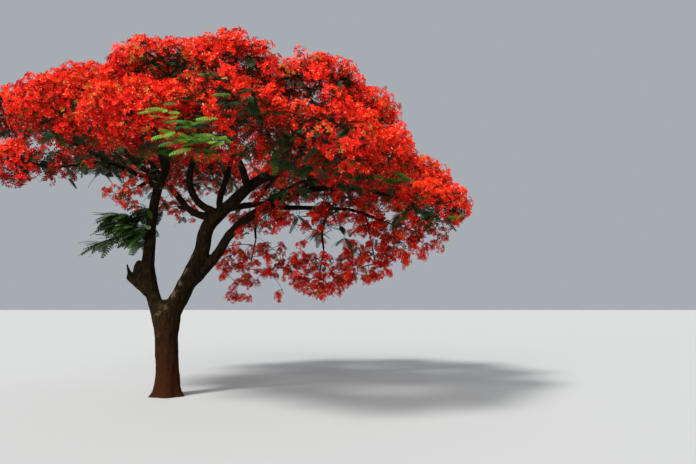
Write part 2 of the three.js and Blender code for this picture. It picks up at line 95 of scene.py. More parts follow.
# By name: bearer, start (a point on the trunk, or a share of the bearer's length), radius, radius at the
# tip, the mass at the end, and bends
MAIN_LIMBS = {
    "left_stem": ("trunk", (-0.25, 0, 1.8), 0.185, 0.038, "top_near_left", [
        (-0.555, 0, 2.86), (-0.555, -0.06, 3.7), (-0.415, -0.17, 4.8), (-0.07, -0.48, 5.6)]),
    "right_stem": ("trunk", (-0.02, 0, 1.9), 0.238, 0.042, "right_near", [
        (0.33, 0, 2.56), (0.69, 0, 3.4), (0.85, 0, 4.08), (1.45, -0.06, 4.66), (2.15, -0.33, 5.18),
        (3.05, -1.08, 5.23)]),
    "right_arm": ("right_stem", 0.1, 0.14, 0.036, "right_end", [
        (1.04, 0.06, 3.33), (1.43, 0.06, 3.94), (2.09, 0.04, 4.48), (3.22, 0, 4.96), (4.5, -0.33, 4.96)]),
    "lower_arm": ("right_arm", 0.44, 0.07, 0.032, "right_low", [
        (3.15, 0.33, 4.6), (4.35, 0.42, 4.56)]),
    "crossing_bough": ("right_stem", 0.39, 0.092, 0.034, "left_mid", [
        (0.33, 0.26, 4.52), (-0.3, 0.33, 5.2), (-1.21, 0.15, 5.85)]),
    "upright_bough": ("right_stem", 0.41, 0.095, 0.034, "top_near", [
        (0.56, -0.17, 4.74), (0.56, -0.64, 5.4)]),
    "back_upright_bough": ("right_stem", 0.43, 0.088, 0.034, "top_back", [
        (1.06, 0.26, 4.78), (1.24, 0.42, 5.6)]),
    "back_bough": ("right_stem", 0.45, 0.098, 0.034, "back_mid", [
        (1.56, 0.9, 4.75), (2.2, 2.3, 5.15)]),
    "left_bough": ("left_stem", 0.62, 0.068, 0.032, "left_end", [
        (-0.86, -0.33, 5.33), (-1.95, -0.8, 5.83)]),
    "low_left_bough": ("left_bough", 0.22, 0.036, 0.024, "left_drop", [
        (-1.45, -0.85, 5.48), (-2.25, -1.25, 5.28)]),
}

# Bearer, place along it, rise and sideways swing of the middle, and the mass at the end
BRANCHES = [
    ("left_stem", 0.66, 0.25, -0.1, "near_left"),
    ("left_stem", 0.74, 0.2, 0.12, "left_near"),
    ("left_stem", 0.57, 0.16, 0, "inner_left"),
    ("crossing_bough", 0.62, 0.15, 0, "top_left"),
    ("crossing_bough", 0.5, 0.2, 0.1, "top_back_left"),
    ("crossing_bough", 0.4, 0.3, 0.1, "back_left"),
    ("crossing_bough", 0.2, 0, 0.1, "inner_back"),
    ("right_stem", 0.56, 0.3, -0.15, "near_mid"),
    ("right_stem", 0.74, 0.25, -0.1, "near_right"),
    ("right_stem", 0.66, 0.1, 0, "top_right"),
    ("right_arm", 0.6, 0.15, 0, "right_top"),
    ("right_arm", 0.7, 0.2, 0.15, "right_back"),
    ("back_upright_bough", 0.4, 0.35, 0, "back_mid_left"),
    ("back_bough", 0.38, 0.25, -0.1, "top_back_right"),
    ("back_bough", 0.5, 0.3, -0.15, "back_right"),
    ("back_bough", 0.66, 0.12, 0.25, "hang_back"),
    ("right_back", 0.3, 0.1, 0.15, "hang_mid"),
    ("right_back", 0.62, 0.06, 0.1, "hang_right"),
]

# Bearing, tilt from straight up, reach, half width, half height, and part of the joined mesh
MASSES = {
    "left_end": (-168, 55, 0.96, 1.35, 0.74, "left"),
    "left_drop": (-161, 71.5, 0.83, 0.6, 0.69, "near"),
    "left_near": (-125, 60, 0.78, 1.5, 0.8, "left"),
    "left_mid": (-175, 37, 0.94, 1.3, 0.78, "left"),
    "near_left": (-96, 69, 0.8, 1.45, 0.74, "near"),
    "near_mid": (-79, 74, 0.88, 1.4, 0.9, "near"),
    "near_right": (-60, 76, 0.86, 1.4, 0.88, "near"),
    "right_near": (-40, 73.5, 0.76, 1.32, 0.91, "near"),
    "right_end": (-10, 86, 0.84, 1.12, 0.76, "right"),
    "top_left": (-150, 26, 0.79, 1.3, 0.85, "left"),
    "top_near_left": (-108, 34, 0.79, 1.4, 0.85, "near"),
    "top_near": (-78, 34, 0.8, 1.35, 0.85, "near"),
    "top_right": (-38, 36, 0.79, 1.45, 0.88, "near"),
    "right_top": (-6, 42, 0.81, 1.25, 0.86, "right"),
    "top_back": (75, 10, 0.79, 1.5, 0.95, "left"),
    "top_back_left": (150, 34, 0.84, 1.55, 0.85, "left"),
    "top_back_right": (35, 40, 0.83, 1.55, 1, "right"),
    "back_left": (148, 54, 0.94, 1.65, 0.8, "back"),
    "back_mid_left": (112, 56, 0.9, 1.65, 0.88, "back"),
    "back_mid": (76, 59, 0.9, 1.6, 0.95, "back"),
    "back_right": (43, 64, 0.89, 1.55, 0.93, "back"),
    "right_back": (15, 72, 0.87, 1.2, 0.98, "right"),
    "hang_back": (88, 106, 0.58, 1.3, 1.08, "back"),
    "hang_mid": (48, 113, 0.6, 1.3, 1.05, "right"),
    "hang_right": (25, 103, 0.7, 1.15, 0.95, "right"),
    "right_low": (5, 92, 0.74, 1.05, 0.78, "right"),
    "inner_left": (-165, 70, 0.43, 0.6, 0.6, "left"),
    "inner_back": (130, 70, 0.47, 0.65, 0.56, "back"),
}

STUB_POINTS = [(-0.54, 0, 2.48), (-0.82, 0.01, 2.7), (-1.01, 0.02, 2.88), (-1.12, 0.03, 3.15)]
# The broken bough is thick as far as the break, with a thin hook beyond: share of its length and radius
STUB_SHARES = [0, 0.5, 0.66, 0.74, 1]
STUB_RADII = [0.15, 0.135, 0.12, 0.05, 0.028]
KNOB_PLACE = (-0.8, 0, 2.98)
KNOB_SIZES = (0.15, 0.135, 0.26)
KNOB_ROWS = 14
KNOB_SIDES = 18
# The rings stop just short of the poles of the knob
KNOB_POLE = 0.97
SHOOT_AT = 0.48
SHOOT_END = np.array([-1.2, -0.13, 4.09])


# The same numbers as for the solids, so that chance gives the same fractions there and here
SEED_STEP, INDEX_STEP, WAVE_HEIGHT = 12.9898, 78.233, 43758.5453


def chance(seed, index):
    """A fraction from 0 to 1 that is always the same for the same two numbers."""
    wave = math.sin(seed * SEED_STEP + index * INDEX_STEP) * WAVE_HEIGHT
    return wave - math.floor(wave)


def unit(vectors):
    """Vectors, one a row, at length 1."""
    return vectors / np.maximum(norm(vectors, axis=-1, keepdims=True), 1e-9)


class Curve:
    """A smooth curve through points, read by its share of the length."""

    STEPS = 200

    def __init__(self, points):
        inner = np.array(points, float)
        before = 2 * inner[0] - inner[1]
        after = 2 * inner[-1] - inner[-2]
        self.points = np.vstack([before, inner, after])
        self.spans = len(inner) - 1
        shares = np.linspace(0, 1, self.STEPS + 1)
        steps = norm(np.diff(self.raw(shares), axis=0), axis=1)
        self.travelled = np.concatenate([[0], np.cumsum(steps)])
        self.shares = shares
        self.length = self.travelled[-1]

    def raw(self, share):
        along = np.clip(np.asarray(share, float), 0, 1) * self.spans
        span = np.minimum(along.astype(int), self.spans - 1)
        t = (along - span)[..., None]
        p0, p1, p2, p3 = (self.points[span + k] for k in range(4))
        leave = 0.5 * (p2 - p0)
        arrive = 0.5 * (p3 - p1)
        square = 3 * (p2 - p1) - 2 * leave - arrive
        cube = 2 * (p1 - p2) + leave + arrive
        return p1 + leave * t + square * t**2 + cube * t**3

    def at(self, part):
        return self.raw(np.interp(np.asarray(part) * self.length, self.travelled, self.shares))

    def heading(self, part):
        return unit(self.at(min(part + 0.001, 1)) - self.at(max(part - 0.001, 0)))


def limb_radius(limb, part):
    """Tapers to the tip, from a swollen collar where the limb leaves another limb."""
    collar = 1 if limb.bearer == "trunk" else 1 + COLLAR * np.maximum(0, 1 - part / COLLAR_END)
    return (limb.tip + (limb.radius - limb.tip) * (1 - part) ** TAPER_POWER) * collar


def depth_in(mass, points):
    """How far out points lie in a mass: 1 is on its skin."""
    return norm((points - mass.centre) / mass.sizes, axis=-1)


def entry_point(mass, start):
    """Where a limb that comes from a point enters a mass."""
    away = start - mass.centre
    return mass.centre + away * ENTRY / depth_in(mass, start)


def branch_curve(start, mass, rise, swing):
    """A branch rises or swings out of the straight line to its mass, and wavers a little."""
    along = mass.centre - start
    side = unit(np.array([-along[1], along[0], 0]))
    bow = side * swing + UP * rise
    end = entry_point(mass, start + BRANCH_TURN * along + bow)
    middle = (start + end) / 2 + bow
    wobble = WOBBLE * norm(along)
    quarters = []
    for i, (a, b) in enumerate([(start, middle), (middle, end)]):
        point = (a + b) / 2 + BRANCH_BOW * bow
        point = point + side * wobble * (2 * chance(mass.seed, i) - 1)
        point = point + UP * wobble * (2 * chance(mass.seed, i + 2) - 1)
        quarters.append(point)
    return Curve([start, quarters[0], middle, quarters[1], end])


masses = {}
for seed, (name, (bearing, tilt, reach, wide, high, part)) in enumerate(MASSES.items(), 1):
    bearing, tilt = math.radians(bearing), math.radians(tilt)
    aim = np.array([math.sin(tilt) * math.cos(bearing), math.sin(tilt) * math.sin(bearing), math.cos(tilt)])
    masses[name] = SimpleNamespace(
        name=name,
        seed=seed,
        centre=CROWN_CENTRE + CROWN_HALF * aim * reach,
        sizes=np.array([wide, wide, high]),
        part=part,
    )

limbs = {}


def add_limb(name, bearer, radius, tip, curve, mass):
    """A limb that starts on its bearer and ends in a mass."""
    limbs[name] = SimpleNamespace(name=name, bearer=bearer, radius=radius, tip=tip, curve=curve)
    mass.limb = limbs[name]


for name, (bearer, start, radius, tip, mass_name, bends) in MAIN_LIMBS.items():
    mass = masses[mass_name]
    first = np.array(start, float) if bearer == "trunk" else limbs[bearer].curve.at(start)
    add_limb(name, bearer, radius, tip, Curve([first, *bends, entry_point(mass, np.array(bends[-1]))]), mass)
for bearer_name, at, rise, swing, mass_name in BRANCHES:
    mass = masses[mass_name]
    bearer = limbs.get(bearer_name) or limbs[f"{bearer_name}_branch"]
    radius = min(BRANCH_MAX_RADIUS, BRANCH_RATIO * limb_radius(bearer, at))
    tip = min(BRANCH_TIP_RADIUS, BRANCH_TIP_RATIO * radius)
    curve = branch_curve(bearer.curve.at(at), mass, rise, swing)
    add_limb(f"{mass_name}_branch", bearer_name, radius, tip, curve, mass)


# Materials

# The colour sockets of a mix node
MIX_FIRST, MIX_SECOND, MIX_RESULT = 6, 7, 2
# Bark colours by furrow and by grain: place on the ramp and colour, 0 to 255. They are kept very dark, partly
# the bark's own brown and partly painted shade of the crown
WOOD = [(0.3, (6, 4, 1)), (0.5, (19, 12, 4)), (0.72, (46, 30, 12))]
GREY = [(0.3, (22, 17, 8)), (0.7, (56, 43, 23))]
# Painted bounce light from the red petals on the ground, on the foot of the trunk
RED_BOUNCE_COLOUR = (46, 19, 4)
PALE_COLOUR = (112, 92, 66)
# Pale places on the bark, where limbs part or broke off: place, size and strength
PALE_BARK = [
    ((-0.1, -0.27, 2.16), 0.12, 0.6),
    ((-0.2, -0.27, 1.95), 0.1, 0.4),
    ((0.1, -0.2, 2.42), 0.12, 0.6),
    ((0.28, -0.15, 2.7), 0.1, 0.55),
    ((0.42, -0.12, 2.92), 0.11, 0.6),
    ((-0.16, -0.27, 1.47), 0.06, 0.2),
    ((0.5, -0.16, 3.3), 0.1, 0.3),
]
PALE_WARP = 0.3
GLOSS_SPREAD = 0.1


def linear(red, green, blue):
    """A colour given as 0 to 255 on screen, as Blender wants it."""
    parts = [c / 255 for c in (red, green, blue)]
    return [((c + 0.055) / 1.055) ** 2.4 if c > 0.04045 else c / 12.92 for c in parts] + [1]


class Look:
    """A new material and the nodes that make its patterns."""

    def __init__(self, name):
        self.material = bpy.data.materials.new(name)
        self.material.use_nodes = True
        self.tree = self.material.node_tree
        self.place = self.tree.nodes.new("ShaderNodeTexCoord").outputs["Object"]

    def feed(self, node, inputs):
        """Sets inputs to values, or links them to the outputs of other nodes."""
        for socket, value in inputs.items():
            if isinstance(value, bpy.types.NodeSocket):
                self.tree.links.new(value, node.inputs[socket])
            else:
                node.inputs[socket].default_value = value

    def finish(self, inputs):
        self.feed(self.tree.nodes["Principled BSDF"], inputs)
        return self.material

    def node(self, kind, output, inputs, **settings):
        node = self.tree.nodes.new(kind)
        for setting, value in settings.items():
            setattr(node, setting, value)
        self.feed(node, inputs)
        return node.outputs[output]

    def noise(self, place, scale, detail=4, roughness=0.6):
        inputs = {"Vector": place, "Scale": scale, "Detail": detail, "Roughness": roughness}
        return self.node("ShaderNodeTexNoise", "Fac", inputs)

    def ramp(self, factor, stops):
        node = self.tree.nodes.new("ShaderNodeValToRGB")
        elements = node.color_ramp.elements
        while len(elements) < len(stops):
            elements.new(0.5)
        for element, (position, colour) in zip(elements, stops):
            element.position = position
            element.color = linear(*colour)
        self.feed(node, {"Fac": factor})
        return node.outputs["Color"]

    def remap(self, value, low, high, to_low, to_high):
        inputs = {"Value": value, "From Min": low, "From Max": high, "To Min": to_low, "To Max": to_high}
        return self.node("ShaderNodeMapRange", "Result", inputs)

    def mix(self, factor, first, second):
        inputs = {"Factor": factor, MIX_FIRST: first, MIX_SECOND: second}
        return self.node("ShaderNodeMix", MIX_RESULT, inputs, data_type="RGBA")

    def bump(self, height, strength, distance, **under):
        inputs = {"Height": height, "Strength": strength, "Distance": distance, **under}
        return self.node("ShaderNodeBump", "Normal", inputs)


def tint(name, colour, roughness):
    """A leaf or petal tint: a plain colour whose gloss varies from place to place."""
    look = Look(name)
    gloss = look.noise(look.place, scale=14)
    return look.finish({
        "Base Color": linear(*colour),
        "Specular IOR Level": 0.15,
        "Roughness": look.remap(gloss, 0.3, 0.7, roughness - GLOSS_SPREAD, roughness + GLOSS_SPREAD),
    })


def bark_material():
    """Dark bark, partly painted shade of the crown, furrowed along the limbs, with grey patches and a foot
    reddened by painted bounce light.
    """
    look = Look("bark")
    stretched = look.node("ShaderNodeMapping", "Vector", {"Vector": look.place, "Scale": (1, 1, 0.3)})
    furrows = look.noise(stretched, scale=22, detail=8, roughness=0.65)
    patches = look.noise(look.place, scale=3.2, detail=5)
    grain = look.noise(look.place, scale=70, detail=6, roughness=0.7)
    grey_share = look.remap(patches, 0.54, 0.72, 0, 0.55)
    colour = look.mix(grey_share, look.ramp(furrows, WOOD), look.ramp(grain, GREY))
    # Painted bounce light: the red that the petals on the ground throw onto the foot fades out upwards, with
    # a ragged edge
    height = look.node("ShaderNodeSeparateXYZ", "Z", {"Vector": look.place})
    ragged = look.node("ShaderNodeMath", "Value", {0: patches, 1: 1.6, 2: height}, operation="MULTIPLY_ADD")
    colour = look.mix(look.remap(ragged, 0.8, 3.1, 0.85, 0), colour, linear(*RED_BOUNCE_COLOUR))
    # The pale places have wandering edges
    wander = look.node("ShaderNodeTexNoise", "Color", {"Vector": look.place, "Scale": 9})
    warped = look.node("ShaderNodeVectorMath", "Vector", {0: wander, 1: [PALE_WARP] * 3, 2: look.place},
                       operation="MULTIPLY_ADD")
    for place, size, strength in PALE_BARK:
        shifted = [c + PALE_WARP / 2 for c in place]
        away = look.node("ShaderNodeVectorMath", "Value", {0: warped, 1: shifted}, operation="DISTANCE")
        near = look.remap(away, 0.2 * size, size, strength, 0)
        colour = look.mix(near, colour, linear(*PALE_COLOUR))
    deep = look.bump(furrows, strength=0.8, distance=0.03)
    return look.finish({
        "Base Color": colour,
        "Specular IOR Level": 0.05,
        "Roughness": look.remap(furrows, 0.3, 0.7, 0.95, 0.75),
        "Normal": look.bump(grain, strength=0.5, distance=0.008, Normal=deep),
    })


# Of these tints, the orange one is partly the petals' own colour and partly painted light on sunlit tops, and
# the darkest red is painted shade
PETAL_TINTS = [
    tint("petals_scarlet", (218, 29, 8), 0.8),
    tint("petals_orange", (230, 56, 12), 0.8),
    tint("petals_crimson", (196, 16, 8), 0.8),
    tint("petals_dark", (136, 10, 7), 0.8),
    tint("petals_pale", (246, 118, 78), 0.8),
    tint("buds_olive", (150, 92, 26), 0.8),
]
SCARLET, ORANGE_HIGHLIGHT, CRIMSON, SHADED_RED, PALE_PETAL, OLIVE = range(6)
# Of these tints, the bright one is painted light, the dark one painted shade and the pale bluish one a
# painted glint of the sky; the middle green is the leaves' own colour
LEAF_TINTS = [
    tint("leaves_bright", (84, 124, 34), 0.6),
    tint("leaves_green", (50, 80, 20), 0.6),
    tint("leaves_dark", (24, 44, 13), 0.6),
    tint("leaves_pale", (88, 112, 76), 0.55),
]
LIT_GREEN, GREEN, SHADED_GREEN, GLINT_GREEN = range(4)
TWIG_TINTS = [tint("twig_bark", (38, 26, 19), 0.8), tint("stalks", (92, 52, 26), 0.7)]
TWIG_BARK, STALK = range(2)


# Joined meshes

class Pile:
    """Four-sided faces gathered for one joined mesh."""

    def __init__(self):
        self.points = []
        self.faces = []
        self.looks = []
        self.count = 0

    def add(self, points, faces, looks):
        """Points of any shape with 3 at the end, faces as numbers into them, and a look for each."""
        flat = np.asarray(points, np.float32).reshape(-1, 3)
        faces = np.asarray(faces, np.int64).reshape(-1, 4)
        self.points.append(flat)
        self.faces.append(faces + self.count)
        self.looks.append(np.broadcast_to(np.asarray(looks, np.int32).reshape(-1), len(faces)))
        self.count += len(flat)

    def build(self, name, materials, slot, nodes, smooth):
        points = np.concatenate(self.points)
        faces = np.concatenate(self.faces)
        mesh = bpy.data.meshes.new(name)
        mesh.vertices.add(len(points))
        mesh.vertices.foreach_set("co", points.ravel())
        mesh.loops.add(faces.size)
        mesh.loops.foreach_set("vertex_index", faces.ravel().astype(np.int32))
        mesh.polygons.add(len(faces))
        mesh.polygons.foreach_set("loop_start", np.arange(0, faces.size, 4, dtype=np.int32))
        for material in materials:
            mesh.materials.append(material)
        mesh.polygons.foreach_set("material_index", np.concatenate(self.looks))
        mesh.polygons.foreach_set("use_smooth", np.full(len(faces), smooth))
        mesh.update(calc_edges=True)
        piece = add_object(name, mesh)
        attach(piece, "root")
        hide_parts(*nodes)


def copies(faces, points_each, count):
    """The faces of one shape, repeated for each of its copies."""
    return (np.arange(count) * points_each)[:, None, None] + np.asarray(faces)[None]


def side_frames(headings):
    """Two directions square to each heading."""
    helper = np.where(np.abs(headings[:, 2:3]) > 0.9, [[1.0, 0.0, 0.0]], [[0.0, 0.0, 1.0]])
    side = unit(np.cross(headings, helper))
    return side, np.cross(side, headings)


# Bark

BARK_VOXEL = 0.021
THICK_LIMBS = ["left_stem", "right_stem", "right_arm"]
# The other limbs are drawn with more sides where they start out stout
STOUT_RADIUS = 0.07
STOUT_SIDES = 12
SLIM_SIDES = 9
LUMP_SCALE = 7
LUMP_HEIGHT = 0.14
TRUNK_HEIGHT = 2.27
TRUNK_HALF_WIDTH = 0.268
TRUNK_HALF_DEPTH = 0.262
TRUNK_LEAN = -0.168
TRUNK_SWAY = 0.026
LEAN_POWER = 1.2
FLARE = 0.125
FLARE_HEIGHT = 0.2
FLARE_DEPTH = 0.9
CROTCH_SPREAD = 0.1
CROTCH_START = 1.35
CROTCH_END = 2.04
BUTTRESS = 0.1
BUTTRESS_HEIGHT = 0.38
SHOULDER = 0.86
SHOULDER_CUT = 0.9
TRUNK_SIDES = 40
TRUNK_ROWS = 60
# The trunk is drawn a little below the ground and then cut level there
BELOW_GROUND = 0.06
# Ridges, lumps and fine bumps: height, scale across the limbs and along them, and a shift
RELIEF = [(0.012, 9, 1.5, 0), (0.016, 3, 3, 7), (0.005, 26, 16, 0)]
# Knots and scars: place, size and how far each stands out; each has a dip in its middle
KNOTS = [
    ((-0.17, -0.26, 1.42), 0.11, 0.04),
    ((0.1, -0.25, 0.62), 0.09, 0.025),
    ((-0.25, -0.2, 0.95), 0.08, 0.022),
    ((-0.62, -0.12, 3.25), 0.07, 0.03),
    ((0.28, -0.2, 2.75), 0.1, 0.03),
    ((0.52, -0.16, 3.35), 0.08, 0.025),
    ((0.2, 0.24, 1.6), 0.12, 0.03),
]
KNOT_DIP = 0.75
KNOT_DIP_SHARPNESS = 2.6


def trunk_rings():
    """Level rings up the trunk: a flared foot, a waist and a wide crotch with a domed top."""
    rings = []
    angle = np.linspace(0, 2 * math.pi, TRUNK_SIDES, endpoint=False)
    ribs = np.cos(5 * angle + 0.7) + 0.5 * np.cos(3 * angle + 2)
    for height in np.linspace(0, TRUNK_HEIGHT, TRUNK_ROWS):
        flare = FLARE * math.exp(-height / FLARE_HEIGHT)
        rise = np.clip((height - CROTCH_START) / (CROTCH_END - CROTCH_START), 0, 1)
        crotch = CROTCH_SPREAD * rise * rise * (3 - 2 * rise)
        buttress = 1 + BUTTRESS * math.exp(-height / BUTTRESS_HEIGHT) * ribs
        shoulder = np.clip((height / TRUNK_HEIGHT - SHOULDER) / (1 - SHOULDER), 0, 1)
        dome = math.sqrt(1 - SHOULDER_CUT * shoulder**2)
        x = TRUNK_LEAN * (height / TRUNK_HEIGHT) ** LEAN_POWER + TRUNK_SWAY * (1 - flare / FLARE)
        wide = (TRUNK_HALF_WIDTH + flare + crotch) * buttress * dome
        deep = (TRUNK_HALF_DEPTH + FLARE_DEPTH * flare) * buttress * dome
        rings.append(np.stack([x + wide * np.cos(angle), deep * np.sin(angle),
                               np.full_like(angle, height)], axis=1))
    rings.insert(0, rings[0] - [0, 0, BELOW_GROUND])
    return np.array(rings)


def tube_rings(curve, radius_at, sides, spacing):
    """Rings of points along a curve, without twist."""
    count = max(4, int(curve.length / spacing))
    parts = np.linspace(0, 1, count)
    centres = curve.at(parts)
    headings = unit(np.gradient(centres, axis=0))
    side = side_frames(headings[:1])[0][0]
    angle = np.linspace(0, 2 * math.pi, sides, endpoint=False)
    rings = []
    for part, centre, heading in zip(parts, centres, headings):
        side = unit(side - heading * np.dot(side, heading))
        other = np.cross(heading, side)
        circle = np.outer(np.cos(angle), side) + np.outer(np.sin(angle), other)
        rings.append(centre + circle * radius_at(part))
    return np.array(rings)


def ring_faces(rings, sides):
    """Four-sided faces between rings that follow each other."""
    start = np.arange(rings - 1)[:, None] * sides
    here = np.arange(sides)[None]
    there = (here + 1) % sides
    return np.stack([start + here, start + there, start + sides + there, start + sides + here], axis=-1)


def closed_object(name, rings):
    """A capped tube as an object of its own."""
    count, sides = rings.shape[:2]
    faces = ring_faces(count, sides).reshape(-1, 4).tolist()
    faces.append(list(range(sides))[::-1])
    faces.append(list(range((count - 1) * sides, count * sides)))
    mesh = bpy.data.meshes.new(name)
    mesh.from_pydata(rings.reshape(-1, 3).tolist(), [], faces)
    return add_object(name, mesh)


def bark_relief(points):
    """Ridges along the limbs, lumps, fine bumps and knots, as a distance out from the surface."""
    out = np.array([sum(height * noise.noise(Vector((x * across + shift, y * across, z * along)))
                        for height, across, along, shift in RELIEF) for x, y, z in points])
    for place, size, stand in KNOTS:
        away = norm(points - np.array(place), axis=1) / size
        out += stand * (np.exp(-away**2) - KNOT_DIP * np.exp(-((away * KNOT_DIP_SHARPNESS) ** 2)))
    return out


def knob_rings():
    """Rings of the rounded knob at the break."""
    turns = np.linspace(0, 2 * math.pi, KNOB_SIDES, endpoint=False)
    rings = [np.stack([math.cos(a) * np.cos(turns), math.cos(a) * np.sin(turns),
                       np.full_like(turns, math.sin(a))], axis=1)
             for a in np.linspace(-KNOB_POLE, KNOB_POLE, KNOB_ROWS) * math.pi / 2]
    return np.array(rings) * KNOB_SIZES + KNOB_PLACE


def thick_bark(pile):
    """The trunk, stems, arm and broken bough as one skin, with its relief."""
    parts = [closed_object("trunk_form", trunk_rings())]
    for name in THICK_LIMBS:
        limb = limbs[name]
        rings = tube_rings(limb.curve, lambda part: limb_radius(limb, part), sides=20, spacing=0.06)
        parts.append(closed_object(name + "_form", rings))
    stub_rings = tube_rings(Curve(STUB_POINTS), lambda part: np.interp(part, STUB_SHARES, STUB_RADII),
                            sides=16, spacing=0.03)
    parts.append(closed_object("stub_form", stub_rings))
    parts.append(closed_object("knob_form", knob_rings()))
    with bpy.context.temp_override(active_object=parts[0], selected_editable_objects=parts):
        bpy.ops.object.join()
    form = parts[0]
    remesh = form.modifiers.new("skin", "REMESH")
    remesh.mode = "VOXEL"
    remesh.voxel_size = BARK_VOXEL
    soften = form.modifiers.new("soften", "SMOOTH")
    soften.factor = 0.5
    soften.iterations = 5
    skin = bpy.data.meshes.new_from_object(form.evaluated_get(bpy.context.evaluated_depsgraph_get()))
    bpy.data.objects.remove(form)
    points = np.zeros(len(skin.vertices) * 3, np.float32)
    skin.vertices.foreach_get("co", points)
    normals = np.zeros_like(points)
    skin.vertices.foreach_get("normal", normals)
    corners = np.zeros(len(skin.loops), np.int32)
    skin.loops.foreach_get("vertex_index", corners)
    points = points.reshape(-1, 3).astype(float)
    normals = normals.reshape(-1, 3)
    points += normals * bark_relief(points)[:, None]
    points[:, 2] = np.maximum(points[:, 2], 0)
    pile.add(points, corners.reshape(-1, 4), 0)
    bpy.data.meshes.remove(skin)


def thin_bark(pile):
    """The other boughs: round tubes with ridges and lumps."""
    for limb in limbs.values():
        if limb.name in THICK_LIMBS:
            continue
        sides = STOUT_SIDES if limb.radius > STOUT_RADIUS else SLIM_SIDES
        rings = tube_rings(limb.curve, lambda part: limb_radius(limb, part), sides, spacing=0.07)
        centres = rings.mean(axis=1, keepdims=True)
        lumps = np.array([[noise.noise(Vector(point * LUMP_SCALE))
                           + 0.5 * noise.noise(Vector(point * (3 * LUMP_SCALE)))
                           for point in ring] for ring in rings])
        rings = centres + (rings - centres) * (1 + LUMP_HEIGHT * lumps[..., None])
        pile.add(rings, ring_faces(len(rings), sides), 0)


# Twigs, leaves and blossom

# Parts of the crown, each with a joined mesh of blossom, one of leaves and one of twigs
PIECE_PARTS = ["left", "near", "right", "back"]
# Twigs: radius at the tips, the power by which radii add up where twigs meet, and sides
TWIG_TIP_RADIUS = 0.0065
TWIG_POWER = 2.5
TWIG_SIDES = 3
SHOOT_RADIUS = 0.022
LIMB_CLEARANCE = 0.07
SAMPLED_SHARE = 0.93
SAMPLE_SPACING = 0.1
# Leaves: pairs of leaflets, half width of the rib, range of lengths, and how far the tips droop
LEAF_PAIRS = 9
RIB_HALF_WIDTH = 0.006
LEAF_SCATTER = (0.8, 1.2)
LEAF_DROOPS = (0.1, 0.35)
# Flowers: petals, the last of which stands up and is smaller, and radii
PETAL_COUNT = 5
PETAL_HALF_TURN = 0.43
UPRIGHT_HALF_TURN = 0.36
UPRIGHT_REACH = 0.86
FLOWER_RADII = (0.046, 0.07)
STALK_HALF_WIDTH = 0.0035
FLOWERS_PER_AREA = 545
HEAD_FLOWERS_PER_AREA = 880
# Shares: flowers with a pale upright petal, petals in another flower's colour, flowers in the first of a
# spray's two colours, sprays with olive buds, and flowers in those that are buds
PALE_SHARE = 0.4
MIXED_PETALS = 0.25
FIRST_COLOUR = 0.72
OLIVE_SPRAYS = 0.2
OLIVE_SHARE = 0.3
# Clumps of a dense mass: how many, how much they crowd to the top, how far they keep inside the skin,
# how many heads each has, and how far round it they go
CLUMPS_PER_AREA = 1.8
CLUMP_CROWDING = 1.15
CLUMP_INSET = 0.1
CLUMP_SPRAYS = 6
CLUMP_WRAP = 1.2
LOWEST_AIM = -0.9
INNER_SPRAYS = 24
# Where in the chances of a mass's seed each use of them begins
TILT_DRAWS, DEPTH_DRAWS, LUCK_DRAWS, SIZE_DRAWS = 20, 60, 500, 900
# Heads in each of the airy masses; the stride that mixes high and low ones shares no factor with them
HEADS = {"hang_back": 25, "hang_mid": 40, "hang_right": 30, "right_low": 21, "inner_left": 9, "inner_back": 9}
HEAD_STRIDE = 11
HEAD_SIZE = 0.22
SMALL_HEAD_SIZE = 0.15
SPROUT_SEED = 77
SPROUT_TWIGS = 22
SPROUT_LEAVES = 12
# Share of the clumps that bloom, from those that face into the crown to those that face out
BLOOM_FACING = [-0.9, -0.35, 0.1]
BLOOM_SHARE = [0.3, 0.78, 1]
# How much of that is left on the underside; the near left shell blooms further under than the others,
# and the ends of the crown bloom all round
UNDER_FACING = [-0.92, -0.65]
SHELL_UNDER_FACING = [-1, -0.9]
UNDER_SHARE = [0.15, 1]
NEAR_SHELL = ["left_near", "near_left", "near_mid"]
RED_BELOW = ["left_end", "left_drop", "right_end"]
# Masses and limbs whose heads are paler, with the light coming through them
PALE_HEADS = ["inner_left", "inner_back", "inner_left_branch", "inner_back_branch", "crossing_bough"]
# Hollows where leaves and boughs show between the blossom, the leaves and heads in them darkened as painted
# shade: how far right of the camera's axis and above it they are, in hundredths of the distance, and the
# radius
HOLLOWS = [
    (-58.6, 21.4, 0.22), (-52.6, 18.3, 0.2), (-41.6, 19.8, 0.16), (-34.7, 29, 0.22), (-30.2, 29, 0.36),
    (-27.2, 24.8, 0.26), (-27.2, 19.7, 0.18), (-25, 26.9, 0.2), (-24.1, 17.9, 0.22), (-19.3, 25, 0.32),
    (-19.3, 17.6, 0.2), (-17.4, 23.1, 0.2), (-16.6, 19.7, 0.3), (-16.2, 28.3, 0.32), (-15.2, 11.7, 0.26),
    (-13.4, 22.6, 0.22), (-10.5, 16.7, 0.28), (-9.3, 12.8, 0.24), (-9.1, 25.5, 0.36), (-5.5, 22.4, 0.42),
    (-1.4, 17.9, 0.28), (-0.3, 25.9, 0.22), (6.6, 18.8, 0.22), (11.7, 6.9, 0.2), (12.4, 3.8, 0.22),
]
# A hollow's middle lies at this share of the way out to the skin, and is this much longer than wide
HOLLOW_DEPTH = 0.8
HOLLOW_STRETCH = 2.5
